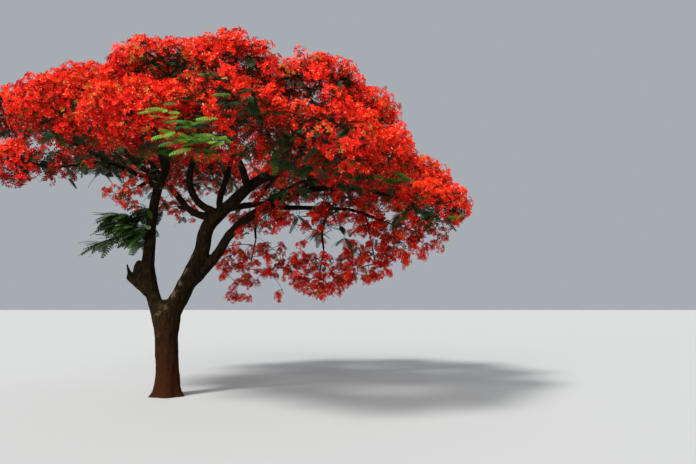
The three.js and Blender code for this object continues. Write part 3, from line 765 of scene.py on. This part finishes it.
# Tufts of leaves that stand out of the blossom: right and up as for the hollows, count, and the share of
# leaves in the bright green that is painted light
TUFTS = [
    (-31.4, 20.4, 8, 0.6), (-29.5, 16.4, 9, 0.6), (-27.8, 18.9, 6, 0.5), (-26.8, 15.8, 14, 0.7),
    (-23.2, 15.2, 9, 0.9), (-21.6, 26.2, 5, 0.5), (-25.8, 18, 7, 0), (-24.5, 14, 5, 0),
    (-18.8, 24, 4, 0.1), (-33.6, 13.4, 6, 0), (7.8, 9.2, 10, 0), (3.4, 10.4, 6, 0),
    (18.1, 2.4, 3, 0.5),
]
TUFT_DEPTH = 0.86
TUFT_FACING = unit(np.array([0.0, -1.1, 1.0]))
# Heads of blossom that fill the skin between its clumps: right and up as for the hollows
SKIN_HEADS = [
    (-38.6, 17.9), (-36.6, 18.6), (-34.5, 17.6), (-35.9, 16.6), (-32.8, 18.3), (-40.7, 16.9),
    (-3.8, 17.2), (0.3, 14.8), (0.7, 12.4), (-1.7, 13.8), (-22.9, 28.6), (-20.7, 27.6),
    (-47.9, 18.3), (-49, 16.9), (-34.5, 21.7), (-36.6, 20.7), (-38.3, 21.7), (-13.8, 28.3),
    (-10.7, 27.9), (-12.8, 26.9), (-31, 31.7), (-23.8, 29.3), (0.3, 11), (2.4, 10.3),
    (-3.1, 24.1), (-16.9, 24.8),
]
SKIN_HEAD_DEPTH = 0.9
# Limbs that bear side twigs: where they begin, how many, how far they hang, and the share in bloom
DRESSED = [
    ("low_left_bough", 0.05, 30, 0.05, 0.02), ("low_left_bough", 0.55, 9, 0.45, 1),
    ("left_bough", 0.3, 14, 0.3, 0.1), ("left_stem", 0.6, 8, 0.2, 0.2),
    ("crossing_bough", 0.35, 12, 0.5, 0.6), ("inner_left_branch", 0.2, 6, 0.3, 0.6),
    ("inner_back_branch", 0.2, 6, 0.3, 0.6), ("back_bough", 0.3, 14, 0.7, 0.7),
    ("right_stem", 0.6, 12, 0.5, 0.5), ("right_arm", 0.35, 30, 0.6, 0.6),
    ("lower_arm", 0.1, 26, 0.7, 0.7), ("right_back_branch", 0.15, 22, 0.8, 0.7),
    ("hang_back_branch", 0.1, 12, 0.4, 0.8), ("hang_mid_branch", 0.1, 12, 0.4, 0.8),
    ("hang_right_branch", 0.1, 10, 0.4, 0.8), ("near_right_branch", 0.4, 6, 0.3, 0.3),
    ("near_mid_branch", 0.4, 6, 0.3, 0.3),
]
# The lowest heads under the crown, by mass: place and size
LOW_HEADS = {
    "hang_back": [((0.97, 3.0, 2.36), 0.22), ((1.2, 3.0, 2.38), 0.2), ((0.78, 2.6, 3.02), 0.18),
                  ((1.33, 2.8, 2.9), 0.2), ((2.47, 2.6, 2.46), 0.2), ((1.97, 3.2, 3.08), 0.2),
                  ((0.69, 2.4, 3.73), 0.18)],
    "hang_mid": [((3.0, 2.4, 2.62), 0.2), ((3.5, 2.2, 2.42), 0.22), ((4.17, 2.0, 2.82), 0.19),
                 ((2.9, 2.8, 3.4), 0.2)],
    "hang_right": [((4.7, 1.8, 2.84), 0.2), ((5.1, 1.6, 2.86), 0.2), ((4.85, 1.4, 3.3), 0.22)],
    "right_low": [((5.65, 0.3, 3.42), 0.2), ((6.05, 0.2, 3.45), 0.2), ((6.4, 0.35, 3.62), 0.2),
                  ((6.65, 0.3, 3.85), 0.18)],
}
LOW_HEAD_LUCK = 0.49
# Lowest height of the hanging heads, by how far to the right they are
EAVES_RIGHT = [5.1, 5.5, 7]
EAVES_HEIGHT = [2.3, 3.2, 3.45]

# Points along the limbs, each with the radius there, that leaves and heads keep clear of
limb_samples = []
for limb in limbs.values():
    parts = np.linspace(0, SAMPLED_SHARE, max(4, int(limb.curve.length / SAMPLE_SPACING)))
    limb_samples.append(np.column_stack([limb.curve.at(parts), limb_radius(limb, parts)]))
limb_samples = np.concatenate(limb_samples)

MASS_CENTRES = np.array([mass.centre for mass in masses.values()])
MASS_SIZES = np.array([mass.sizes for mass in masses.values()])


def aim_of(mass, index, count, highest, lowest, crowding=1):
    """Directions over a ball, between two heights on it; they crowd to the top if crowding is over 1."""
    height = highest - (highest - lowest) * ((index + 0.5) / count) ** crowding
    ring = math.sqrt(max(0, 1 - height * height))
    angle = index * GOLDEN_ANGLE + mass.seed
    return np.array([ring * math.cos(angle), ring * math.sin(angle), height])


def owns(mass, point):
    """A mass keeps to the space that is nearer to its own middle than to any other."""
    depths = norm((point - MASS_CENTRES) / MASS_SIZES, axis=1)
    return depth_in(mass, point) < min(SKIN, depths.min() + 1e-9)


def seen_place(right, up, depth):
    """Where a line of sight first comes to this depth in a mass, and the name of that mass."""
    right, up, pitch = right / 100, up / 100, math.radians(CAMERA_PITCH)
    level, steep = math.cos(pitch), math.sin(pitch)
    heading = np.array([right, level - up * steep, steep + up * level])
    start = (np.array(CAMERA_PLACE) - MASS_CENTRES) / MASS_SIZES / depth
    step = heading / MASS_SIZES / depth
    a = np.sum(step * step, axis=1)
    b = np.sum(start * step, axis=1)
    square = b * b - a * (np.sum(start * start, axis=1) - 1)
    way = np.where(square > 0, (-b - np.sqrt(np.maximum(square, 0))) / a, np.inf)
    first = int(np.argmin(way))
    return np.array(CAMERA_PLACE) + way[first] * heading, list(masses)[first]


HOLLOW_PLACES = np.array([seen_place(right, up, HOLLOW_DEPTH)[0] for right, up, _ in HOLLOWS])
HOLLOW_RADII = np.array([row[2] for row in HOLLOWS])
HOLLOW_SIGHTS = unit(HOLLOW_PLACES - CAMERA_PLACE)


def in_hollow(point):
    away = point - HOLLOW_PLACES
    along = np.sum(away * HOLLOW_SIGHTS, axis=1)
    across = np.sum(away * away, axis=1) - along**2
    return bool((across + (along / HOLLOW_STRETCH) ** 2 < HOLLOW_RADII**2).any())


def clear_of_limbs(point):
    away = norm(limb_samples[:, :3] - point, axis=1) - limb_samples[:, 3]
    return away.min() > LIMB_CLEARANCE


def petal_shape():
    """The petals about a flower's middle: distance out, turn, and height for each corner."""
    corners = []
    for petal in range(PETAL_COUNT):
        turn = petal * 2 * math.pi / PETAL_COUNT
        upright = petal == PETAL_COUNT - 1
        half = UPRIGHT_HALF_TURN if upright else PETAL_HALF_TURN
        reach = UPRIGHT_REACH if upright else 1.0
        corners += [(0.05, turn, -0.06), (0.7 * reach, turn + half, 0.12), (reach, turn, 0.02),
                    (0.7 * reach, turn - half, 0.12)]
    return np.array(corners)


PETALS = petal_shape()
PETAL_CORNERS = len(PETALS) // PETAL_COUNT


def add_flowers(growth, roots, centres, facings, sizes, looks, stalked, rng):
    """Open flowers of four spread petals and a paler upright one, with or without stalks."""
    count = len(centres)
    side, other = side_frames(facings)
    spin = rng.uniform(0, 2 * math.pi, (count, 1))
    lift = np.repeat(rng.uniform(-0.12, 0.34, (count, PETAL_COUNT)), PETAL_CORNERS, axis=1)
    out = PETALS[:, 0] * rng.uniform(0.88, 1.1, (count, len(PETALS)))
    turn = PETALS[:, 1] + spin
    height = PETALS[:, 2] + lift * PETALS[:, 0]
    points = centres[:, None] + sizes[:, None, None] * (
        (out * np.cos(turn))[..., None] * side[:, None]
        + (out * np.sin(turn))[..., None] * other[:, None]
        + height[..., None] * facings[:, None])
    corners = np.arange(len(PETALS)).reshape(PETAL_COUNT, PETAL_CORNERS)
    each = np.repeat(np.asarray(looks)[:, None], PETAL_COUNT, axis=1)
    each = np.where(rng.random((count, PETAL_COUNT)) < MIXED_PETALS, rng.permutation(looks)[:, None], each)
    each[:, -1] = np.where(rng.random(count) < PALE_SHARE, PALE_PETAL, each[:, -1])
    growth.petals.add(points, copies(corners, len(PETALS), count), each)
    if stalked:
        width = STALK_HALF_WIDTH * side
        head = centres - 0.05 * sizes[:, None] * facings
        strips = np.stack([roots - width, roots + width, head + width, head - width], axis=1)
        growth.stalks.add(strips, copies([[0, 1, 2, 3]], 4, count), STALK)


def leaf_shape():
    """A feathery leaf along X, of length 1: a rib and pairs of pointed leaflets."""
    points = [(0, -RIB_HALF_WIDTH, 0), (0, RIB_HALF_WIDTH, 0),
              (0.97, RIB_HALF_WIDTH / 2, 0), (0.97, -RIB_HALF_WIDTH / 2, 0)]
    for share in np.arange(LEAF_PAIRS) / (LEAF_PAIRS - 1):
        along = 0.14 + 0.82 * share
        length = 0.05 + 0.15 * math.sin(math.pi * (0.18 + 0.74 * share))
        for out in (-length, length):
            points += [
                (along - 0.034, 0, 0),
                (along + 0.2 * length - 0.034, 0.6 * out, 0.01),
                (along + 0.5 * length, out, -0.02),
                (along + 0.036, 0, 0),
            ]
    return np.array(points)


LEAF = leaf_shape()
LEAF_FACES = np.arange(len(LEAF)).reshape(-1, 4)


def add_leaves(growth, roots, headings, lengths, droops, looks, facing=UP):
    """Feathery leaves that arch down under their own weight, with their upper side facing one way."""
    over = unit(facing - np.sum(headings * facing, axis=1, keepdims=True) * headings + 1e-6)
    side = np.cross(over, headings)
    along = LEAF[:, 0]
    points = roots[:, None] + lengths[:, None, None] * (
        along[None, :, None] * headings[:, None]
        + LEAF[None, :, 1, None] * side[:, None]
        + LEAF[None, :, 2, None] * over[:, None]
        - (droops[:, None] * along[None] ** 2)[..., None] * UP
        - 0.5 * (np.abs(LEAF[None, :, 1]) * droops[:, None])[..., None] * UP)
    growth.leaves.add(points, copies(LEAF_FACES, len(LEAF), len(roots)), np.repeat(looks, len(LEAF_FACES)))


class Growth:
    """What grows on one part of the crown, each kind apart."""

    def __init__(self):
        self.petals = Pile()
        self.leaves = Pile()
        self.stalks = Pile()


class Twigs:
    """The branching twigs of one mass: each twig starts at the nearest twig that is further in."""

    def __init__(self, stem_points, head):
        self.points = list(stem_points)
        self.parents = [max(i - 1, 0) for i in range(len(stem_points))]
        self.head = head
        self.ends = []

    def grow(self, target, sag, steps=3):
        points = np.array(self.points)
        reach = norm(points - target, axis=1)
        inner = norm(points - self.head, axis=1)
        cost = reach + 0.35 * np.maximum(0, inner - norm(target - self.head))
        last = int(np.argmin(cost))
        start = points[last]
        onward = start - points[self.parents[last]]
        ahead = unit(onward) if norm(onward) > 0 else np.zeros(3)
        span = norm(target - start)
        knee = (start + target) / 2 + 0.22 * span * ahead + UP * sag * span
        for t in np.arange(1, steps + 1) / steps:
            self.points.append((1 - t) ** 2 * start + 2 * t * (1 - t) * knee + t**2 * target)
            self.parents.append(last)
            last = len(self.points) - 1
        self.ends.append(last)

    def build(self, growth, thickest):
        """Three-sided twigs, as thick as the number of ends that they bear asks for."""
        load = np.zeros(len(self.points))
        load[self.ends] = 1
        for i in range(len(self.points) - 1, 0, -1):
            load[self.parents[i]] += load[i]
        radius = np.minimum(thickest, TWIG_TIP_RADIUS * np.maximum(load, 1) ** (1 / TWIG_POWER))
        points = np.array(self.points)
        tops = np.arange(1, len(points))
        feet = np.array(self.parents)[1:]
        headings = unit(points[tops] - points[feet])
        side, other = side_frames(headings)
        angle = np.linspace(0, 2 * math.pi, TWIG_SIDES, endpoint=False)
        circle = np.cos(angle)[None, :, None] * side[:, None] + np.sin(angle)[None, :, None] * other[:, None]
        foot_radius = np.minimum(radius[feet], 1.35 * radius[tops])
        start = points[feet] - headings * radius[tops, None]
        rings = [start[:, None] + circle * foot_radius[:, None, None],
                 points[tops][:, None] + circle * radius[tops][:, None, None]]
        growth.stalks.add(np.stack(rings, axis=1),
                          copies(ring_faces(2, TWIG_SIDES)[0], 2 * TWIG_SIDES, len(tops)), TWIG_BARK)


def spray_of_blossom(mass, growth, place, facing, looks, rng, size, hanging=False):
    """A rounded head of flowers; those of a hanging one show their stalks."""
    count = int((HEAD_FLOWERS_PER_AREA if hanging else FLOWERS_PER_AREA) * size**2)
    away = unit(unit(rng.normal(size=(count, 3))) + 0.6 * facing)
    flat = away - 0.3 * np.sum(away * facing, axis=1, keepdims=True) * facing
    centres = place + flat * size * rng.uniform(0.3, 1.0, (count, 1)) ** 0.5
    if mass:
        centres = centres[depth_in(mass, centres) < 1]
    count = len(centres)
    facings = unit(unit(centres - place) + 0.4 * facing + 0.4 * rng.normal(size=(count, 3)))
    sizes = rng.uniform(*FLOWER_RADII, count)
    roots = place - 0.25 * size * facing + 0.15 * (centres - place)
    each = np.where(rng.random(count) < FIRST_COLOUR, looks[0], looks[1])
    if rng.random() < OLIVE_SPRAYS:
        each = np.where(rng.random(count) < OLIVE_SHARE, OLIVE, each)
    add_flowers(growth, roots, centres, facings, sizes, each, hanging, rng)


def spray_of_leaves(mass, growth, place, facing, look, rng, count, length):
    """Feathery leaves fanned out about one point, mostly level."""
    headings = unit(rng.normal(size=(count, 3))) + 0.5 * facing
    headings[:, 2] = np.clip(headings[:, 2], -0.35, 0.3)
    headings = unit(headings)
    lengths = length * rng.uniform(*LEAF_SCATTER, count)
    droops = rng.uniform(*LEAF_DROOPS, count)
    tips = place + headings * lengths[:, None] - UP * (droops * lengths)[:, None]
    if mass:
        kept = depth_in(mass, tips) < 1
        headings, lengths, droops = headings[kept], lengths[kept], droops[kept]
    count = len(headings)
    add_leaves(growth, np.tile(place, (count, 1)), headings, lengths, droops, np.full(count, look))


def add_tuft(growth, place, count, lit_share, rng):
    """Level leaves that fan out of the blossom towards the near side."""
    turns = rng.uniform(-2.9, -0.2, count)
    rises = rng.uniform(-0.12, 0.25, count)
    headings = unit(np.stack([np.cos(turns), 0.35 * np.sin(turns), rises], axis=1))
    roots = place + rng.normal(size=(count, 3)) * [0.1, 0.06, 0.06]
    # The bright green of some tuft leaves is painted light, and the darkest green painted shade
    looks = np.where(rng.random(count) < lit_share, LIT_GREEN, rng.choice([GREEN, SHADED_GREEN], count))
    lengths = rng.uniform(0.24, 0.4, count)
    add_leaves(growth, roots, headings, lengths, rng.uniform(0.1, 0.3, count), looks, TUFT_FACING)


def blossom_looks(facing, luck):
    """Painted light and shade: orange and scarlet above, crimson and darker red below."""
    if facing[2] > 0.35:
        return (SCARLET, ORANGE_HIGHLIGHT) if luck < 0.6 else (ORANGE_HIGHLIGHT, SCARLET)
    if facing[2] > -0.75:
        return (SCARLET, CRIMSON) if luck < 0.7 else (CRIMSON, SCARLET)
    return (CRIMSON, SHADED_RED) if luck < 0.5 else (SHADED_RED, CRIMSON)


def stem_of(mass):
    """The stem goes on from the tip of the mass's limb."""
    curve = mass.limb.curve
    tip = curve.at(1)
    heading = curve.heading(1)
    past = AIRY_OVERSHOOT if mass.name in HEADS else 0
    head = mass.centre + past * (mass.centre - tip)
    return Curve([tip - 0.02 * heading, tip + 0.06 * heading, head])


def bloom_share(mass, place):
    """Clumps that face out of the crown bloom; those that face in or down bear mostly leaves."""
    facing = unit((place - mass.centre) / mass.sizes ** 2)
    outward = np.dot(facing, unit((place - CROWN_CENTRE) / CROWN_HALF**2))
    share = np.interp(outward, BLOOM_FACING, BLOOM_SHARE)
    if mass.name in RED_BELOW:
        return share
    facings = SHELL_UNDER_FACING if mass.name in NEAR_SHELL else UNDER_FACING
    return share * np.interp(facing[2], facings, UNDER_SHARE)


def grow_clump(mass, twigs, growth, place, radius, number, rng):
    """Heads of blossom round the outer and upper side of one clump, with leaves under them."""
    facing = unit(unit((place - mass.centre) / mass.sizes) + 0.45 * UP)
    side, other = (row[0] for row in side_frames(facing[None]))
    luck = chance(mass.seed, number + LUCK_DRAWS)
    blooms = luck < bloom_share(mass, place)
    twigs.grow(place, sag=0.06)
    # Leaves under blossom and in hollows take the darkest green as painted shade
    look = SHADED_GREEN if blooms or luck < 0.75 or in_hollow(place) else GREEN
    below = place - 0.3 * radius * UP
    spray_of_leaves(mass, growth, below, facing, look, rng, count=3 if blooms else 10, length=0.36)
    if not blooms:
        return
    if in_hollow(place):
        spot = place + 0.6 * radius * rng.normal(size=3)
        twigs.grow(spot, sag=0.1, steps=1)
        # A head in a hollow takes the darker reds as painted shade
        spray_of_blossom(mass, growth, spot, facing, (CRIMSON, SHADED_RED), rng, size=0.14)
        spray_of_leaves(mass, growth, place, facing, SHADED_GREEN, rng, count=5, length=0.32)
        return
    for j in range(CLUMP_SPRAYS):
        level = 1 - CLUMP_WRAP * (j + 0.5) / CLUMP_SPRAYS
        ring = math.sqrt(1 - level * level)
        turn = j * GOLDEN_ANGLE + number
        aim = level * facing + ring * (math.cos(turn) * side + math.sin(turn) * other)
        size = 0.15 + 0.07 * chance(number, j + mass.seed)
        spot = place + aim * (radius - 0.4 * size)
        if owns(mass, spot) and clear_of_limbs(spot) and not in_hollow(spot):
            twigs.grow(spot, sag=0.1, steps=1)
            looks = blossom_looks(aim, chance(number, j))
            spray_of_blossom(mass, growth, spot, unit(aim + 0.2 * UP), looks, rng, size)


def grow_dense(mass, growth):
    """Clumps of blossom over the outside of a mass, and leaves further in."""
    seed = mass.seed
    rng = np.random.default_rng(seed)
    twigs = Twigs(stem_of(mass).at(np.linspace(0, 1, 6)), mass.centre)
    # The leaves further in take the darkest green as painted shade
    for i in range(INNER_SPRAYS):
        aim = aim_of(mass, i, INNER_SPRAYS, 1, LOWEST_AIM)
        place = mass.centre + aim * mass.sizes * (0.4 + 0.25 * chance(seed, i + DEPTH_DRAWS))
        if clear_of_limbs(place):
            twigs.grow(place, sag=0.06)
            spray_of_leaves(mass, growth, place, aim, SHADED_GREEN, rng, count=3, length=0.42)
    wide, high = mass.sizes[0], mass.sizes[2]
    area = 4 * math.pi * wide * (wide + 2 * high) / 3
    count = round(CLUMPS_PER_AREA * area)
    for i in range(count):
        radius = min(0.3 + 0.2 * chance(seed, i + SIZE_DRAWS), 0.45 * high)
        tilt = 0.2 * (chance(seed, i + TILT_DRAWS) - 0.5) * UP
        aim = unit(aim_of(mass, i, count, 1, LOWEST_AIM, CLUMP_CROWDING) + tilt)
        room = mass.sizes - radius - CLUMP_INSET
        place = mass.centre + aim * room * (0.84 + 0.16 * chance(seed, i))
        if owns(mass, place) and clear_of_limbs(place):
            grow_clump(mass, twigs, growth, place, radius, i, rng)
    for right, up, count, lit_share in TUFTS:
        place, name = seen_place(right, up, TUFT_DEPTH)
        if name == mass.name:
            twigs.grow(place, sag=0.06)
            add_tuft(growth, place, count, lit_share, rng)
    for right, up in SKIN_HEADS:
        place, name = seen_place(right, up, SKIN_HEAD_DEPTH)
        if name == mass.name:
            twigs.grow(place, sag=0.06)
            spray_of_blossom(mass, growth, place, TUFT_FACING, (SCARLET, CRIMSON), rng, size=0.23)
    twigs.build(growth, 0.9 * mass.limb.tip)


def hanging_head(mass, twigs, growth, place, size, luck, rng, pale=False):
    """A loose head of two or three sprays at the end of a thin twig, with a few leaves."""
    twigs.grow(place, sag=0.3)
    # Heads that hang under the crown take mostly crimson and the darkest red as painted shade
    looks = (SCARLET, ORANGE_HIGHLIGHT) if luck < 0.15 else (CRIMSON, SCARLET) if luck < 0.5 else (CRIMSON, SHADED_RED)
    if pale:
        looks = (SCARLET, PALE_PETAL) if luck < 0.7 else (CRIMSON, PALE_PETAL)
    for _ in range(rng.integers(2, 4)):
        shift = rng.normal(size=3) * [0.5, 0.5, 0.3] * size
        spray_of_blossom(mass, growth, place + shift, unit(shift + 0.1 * UP), looks, rng, 0.8 * size, True)
    if luck > 0.5:
        # The darker green of some of their leaves is painted shade
        look = SHADED_GREEN if luck > 0.7 else GREEN
        spray_of_leaves(mass, growth, place, UP, look, rng, count=3, length=0.26)


def grow_airy(mass, growth):
    """Heads of blossom on thin twigs that hang in the open."""
    seed = mass.seed
    rng = np.random.default_rng(seed)
    twigs = Twigs(stem_of(mass).at(np.linspace(0, 1, 8)), mass.centre)
    count = HEADS[mass.name]
    largest = HEAD_SIZE if mass.sizes[0] > 0.8 else SMALL_HEAD_SIZE
    for i in range(count):
        aim = aim_of(mass, (i * HEAD_STRIDE) % count, count, 0.6, -1)
        size = largest * (0.6 + 0.4 * chance(seed, i + SIZE_DRAWS))
        depth = 0.35 + 0.65 * chance(seed, i) ** 0.6
        place = mass.centre + aim * (mass.sizes - 1.1 * size) * depth
        eaves = np.interp(place[0], EAVES_RIGHT, EAVES_HEIGHT)
        if owns(mass, place) and clear_of_limbs(place) and place[2] > eaves:
            hanging_head(mass, twigs, growth, place, size, chance(seed, i + LUCK_DRAWS), rng,
                         mass.name in PALE_HEADS)
    for place, size in LOW_HEADS.get(mass.name, []):
        hanging_head(None, twigs, growth, np.array(place), size, LOW_HEAD_LUCK, rng)
    twigs.build(growth, 0.9 * mass.limb.tip)


def dress_limb(limb, start, count, drop, bloom, growth):
    """Side twigs along a limb, with leaves and some heads of blossom."""
    rng = np.random.default_rng(len(limb.name) * 31 + count)
    curve = limb.curve
    twigs = Twigs(curve.at(np.linspace(start, 0.97, 14)), curve.at(1))
    for i in range(count):
        root = curve.at(start + (0.95 - start) * (i + rng.random()) / count)
        turn = rng.uniform(0, 2 * math.pi)
        reach = rng.uniform(0.25, 0.6)
        place = root + reach * np.array([math.cos(turn), math.sin(turn), 0]) + UP * rng.uniform(-drop, 0.2)
        if not clear_of_limbs(place):
            continue
        if rng.random() < bloom:
            size = rng.uniform(0.12, 0.2)
            hanging_head(None, twigs, growth, place, size, rng.random(), rng, limb.name in PALE_HEADS)
        else:
            twigs.grow(place, sag=0.2)
            # Leaves along the limbs inside the crown take the darkest green as painted shade
            spray_of_leaves(None, growth, place, unit(place - root), SHADED_GREEN, rng, count=4, length=0.4)
    twigs.build(growth, 0.6 * limb.tip)


def grow_sprout(growth):
    """A short shoot from the side of the left stem with layered fans of long leaves."""
    rng = np.random.default_rng(SPROUT_SEED)
    root = limbs["left_stem"].curve.at(SHOOT_AT)
    curve = Curve([root, (root + SHOOT_END) / 2 + [0, 0, 0.04], SHOOT_END])
    twigs = Twigs(curve.at(np.linspace(0, 1, 7)), SHOOT_END)
    for i in range(SPROUT_TWIGS):
        turn = i * GOLDEN_ANGLE
        level = 0.14 - 0.8 * (i + 0.5) / SPROUT_TWIGS
        spread = [0.3 * math.cos(turn) - 0.24, 0.34 * math.sin(turn), level]
        place = curve.at(0.12 + 0.88 * chance(7, i)) + spread
        twigs.grow(place, sag=0.15)
        headings = unit(rng.normal(size=(SPROUT_LEAVES, 3)) * [0.8, 1, 0.25] + [-0.95, -0.1, -0.05])
        # The pale bluish green is a painted glint of the sky, and the darkest green is painted shade
        looks = rng.choice([GLINT_GREEN, GREEN, SHADED_GREEN], SPROUT_LEAVES, p=[0.1, 0.36, 0.54])
        lengths = rng.uniform(0.38, 0.62, SPROUT_LEAVES)
        droops = rng.uniform(0.15, 0.4, SPROUT_LEAVES)
        add_leaves(growth, np.tile(place, (SPROUT_LEAVES, 1)), headings, lengths, droops, looks)
    twigs.build(growth, SHOOT_RADIUS)


part_of_limb = {mass.limb.name: mass.part for mass in masses.values()}

bark_pile = Pile()
thick_bark(bark_pile)
thin_bark(bark_pile)
bark_pile.build("bark_skin", [bark_material()], "bark", ["trunk", "broken_bough", *limbs], True)

for part in PIECE_PARTS:
    growth = Growth()
    nodes = []
    for name, mass in masses.items():
        if mass.part == part:
            grow = grow_airy if name in HEADS else grow_dense
            grow(mass, growth)
            nodes.append(f"{name}_foliage")
    for name, start, count, drop, bloom in DRESSED:
        if part_of_limb[name] == part:
            dress_limb(limbs[name], start, count, drop, bloom, growth)
    growth.petals.build(f"blossom_{part}", PETAL_TINTS, "blossom", nodes, False)
    if part == "left":
        grow_sprout(growth)
        nodes.append("sprout_leaves")
    growth.leaves.build(f"leaves_{part}", LEAF_TINTS, "leaves", nodes, False)
    growth.stalks.build(f"twigs_{part}", TWIG_TINTS, "bark", nodes, True)


# Floor and light

FLOOR_HALF = 400


def add_sun(name, strength, softness, turn):
    """A sun with soft edges; softness and turn are in degrees."""
    data = bpy.data.lights.new(name, "SUN")
    data.energy = strength
    data.angle = math.radians(softness)
    add_object(name, data).rotation_euler = [math.radians(angle) for angle in turn]


floor_mesh = bpy.data.meshes.new("floor")
floor_corners = [(x * FLOOR_HALF, y * FLOOR_HALF, 0) for x, y in ((-1, -1), (1, -1), (1, 1), (-1, 1))]
floor_mesh.from_pydata(floor_corners, [], [(0, 1, 2, 3)])
floor_mesh.materials.append(Look("floor").finish({"Base Color": (0.42, 0.42, 0.41, 1), "Roughness": 0.9}))
floor = add_object("floor", floor_mesh)

add_sun("sun", 4.1, 12, (42, -14, -28))
add_sun("fill", 4.5, 70, (78, 0, -15))

world = bpy.data.worlds.new("world")
world.use_nodes = True
sky = world.node_tree.nodes["Background"].inputs
sky["Color"].default_value = (0.86, 0.92, 1, 1)
sky["Strength"].default_value = 0.45
bpy.context.scene.world = world
bpy.context.scene.view_settings.view_transform = "Standard"
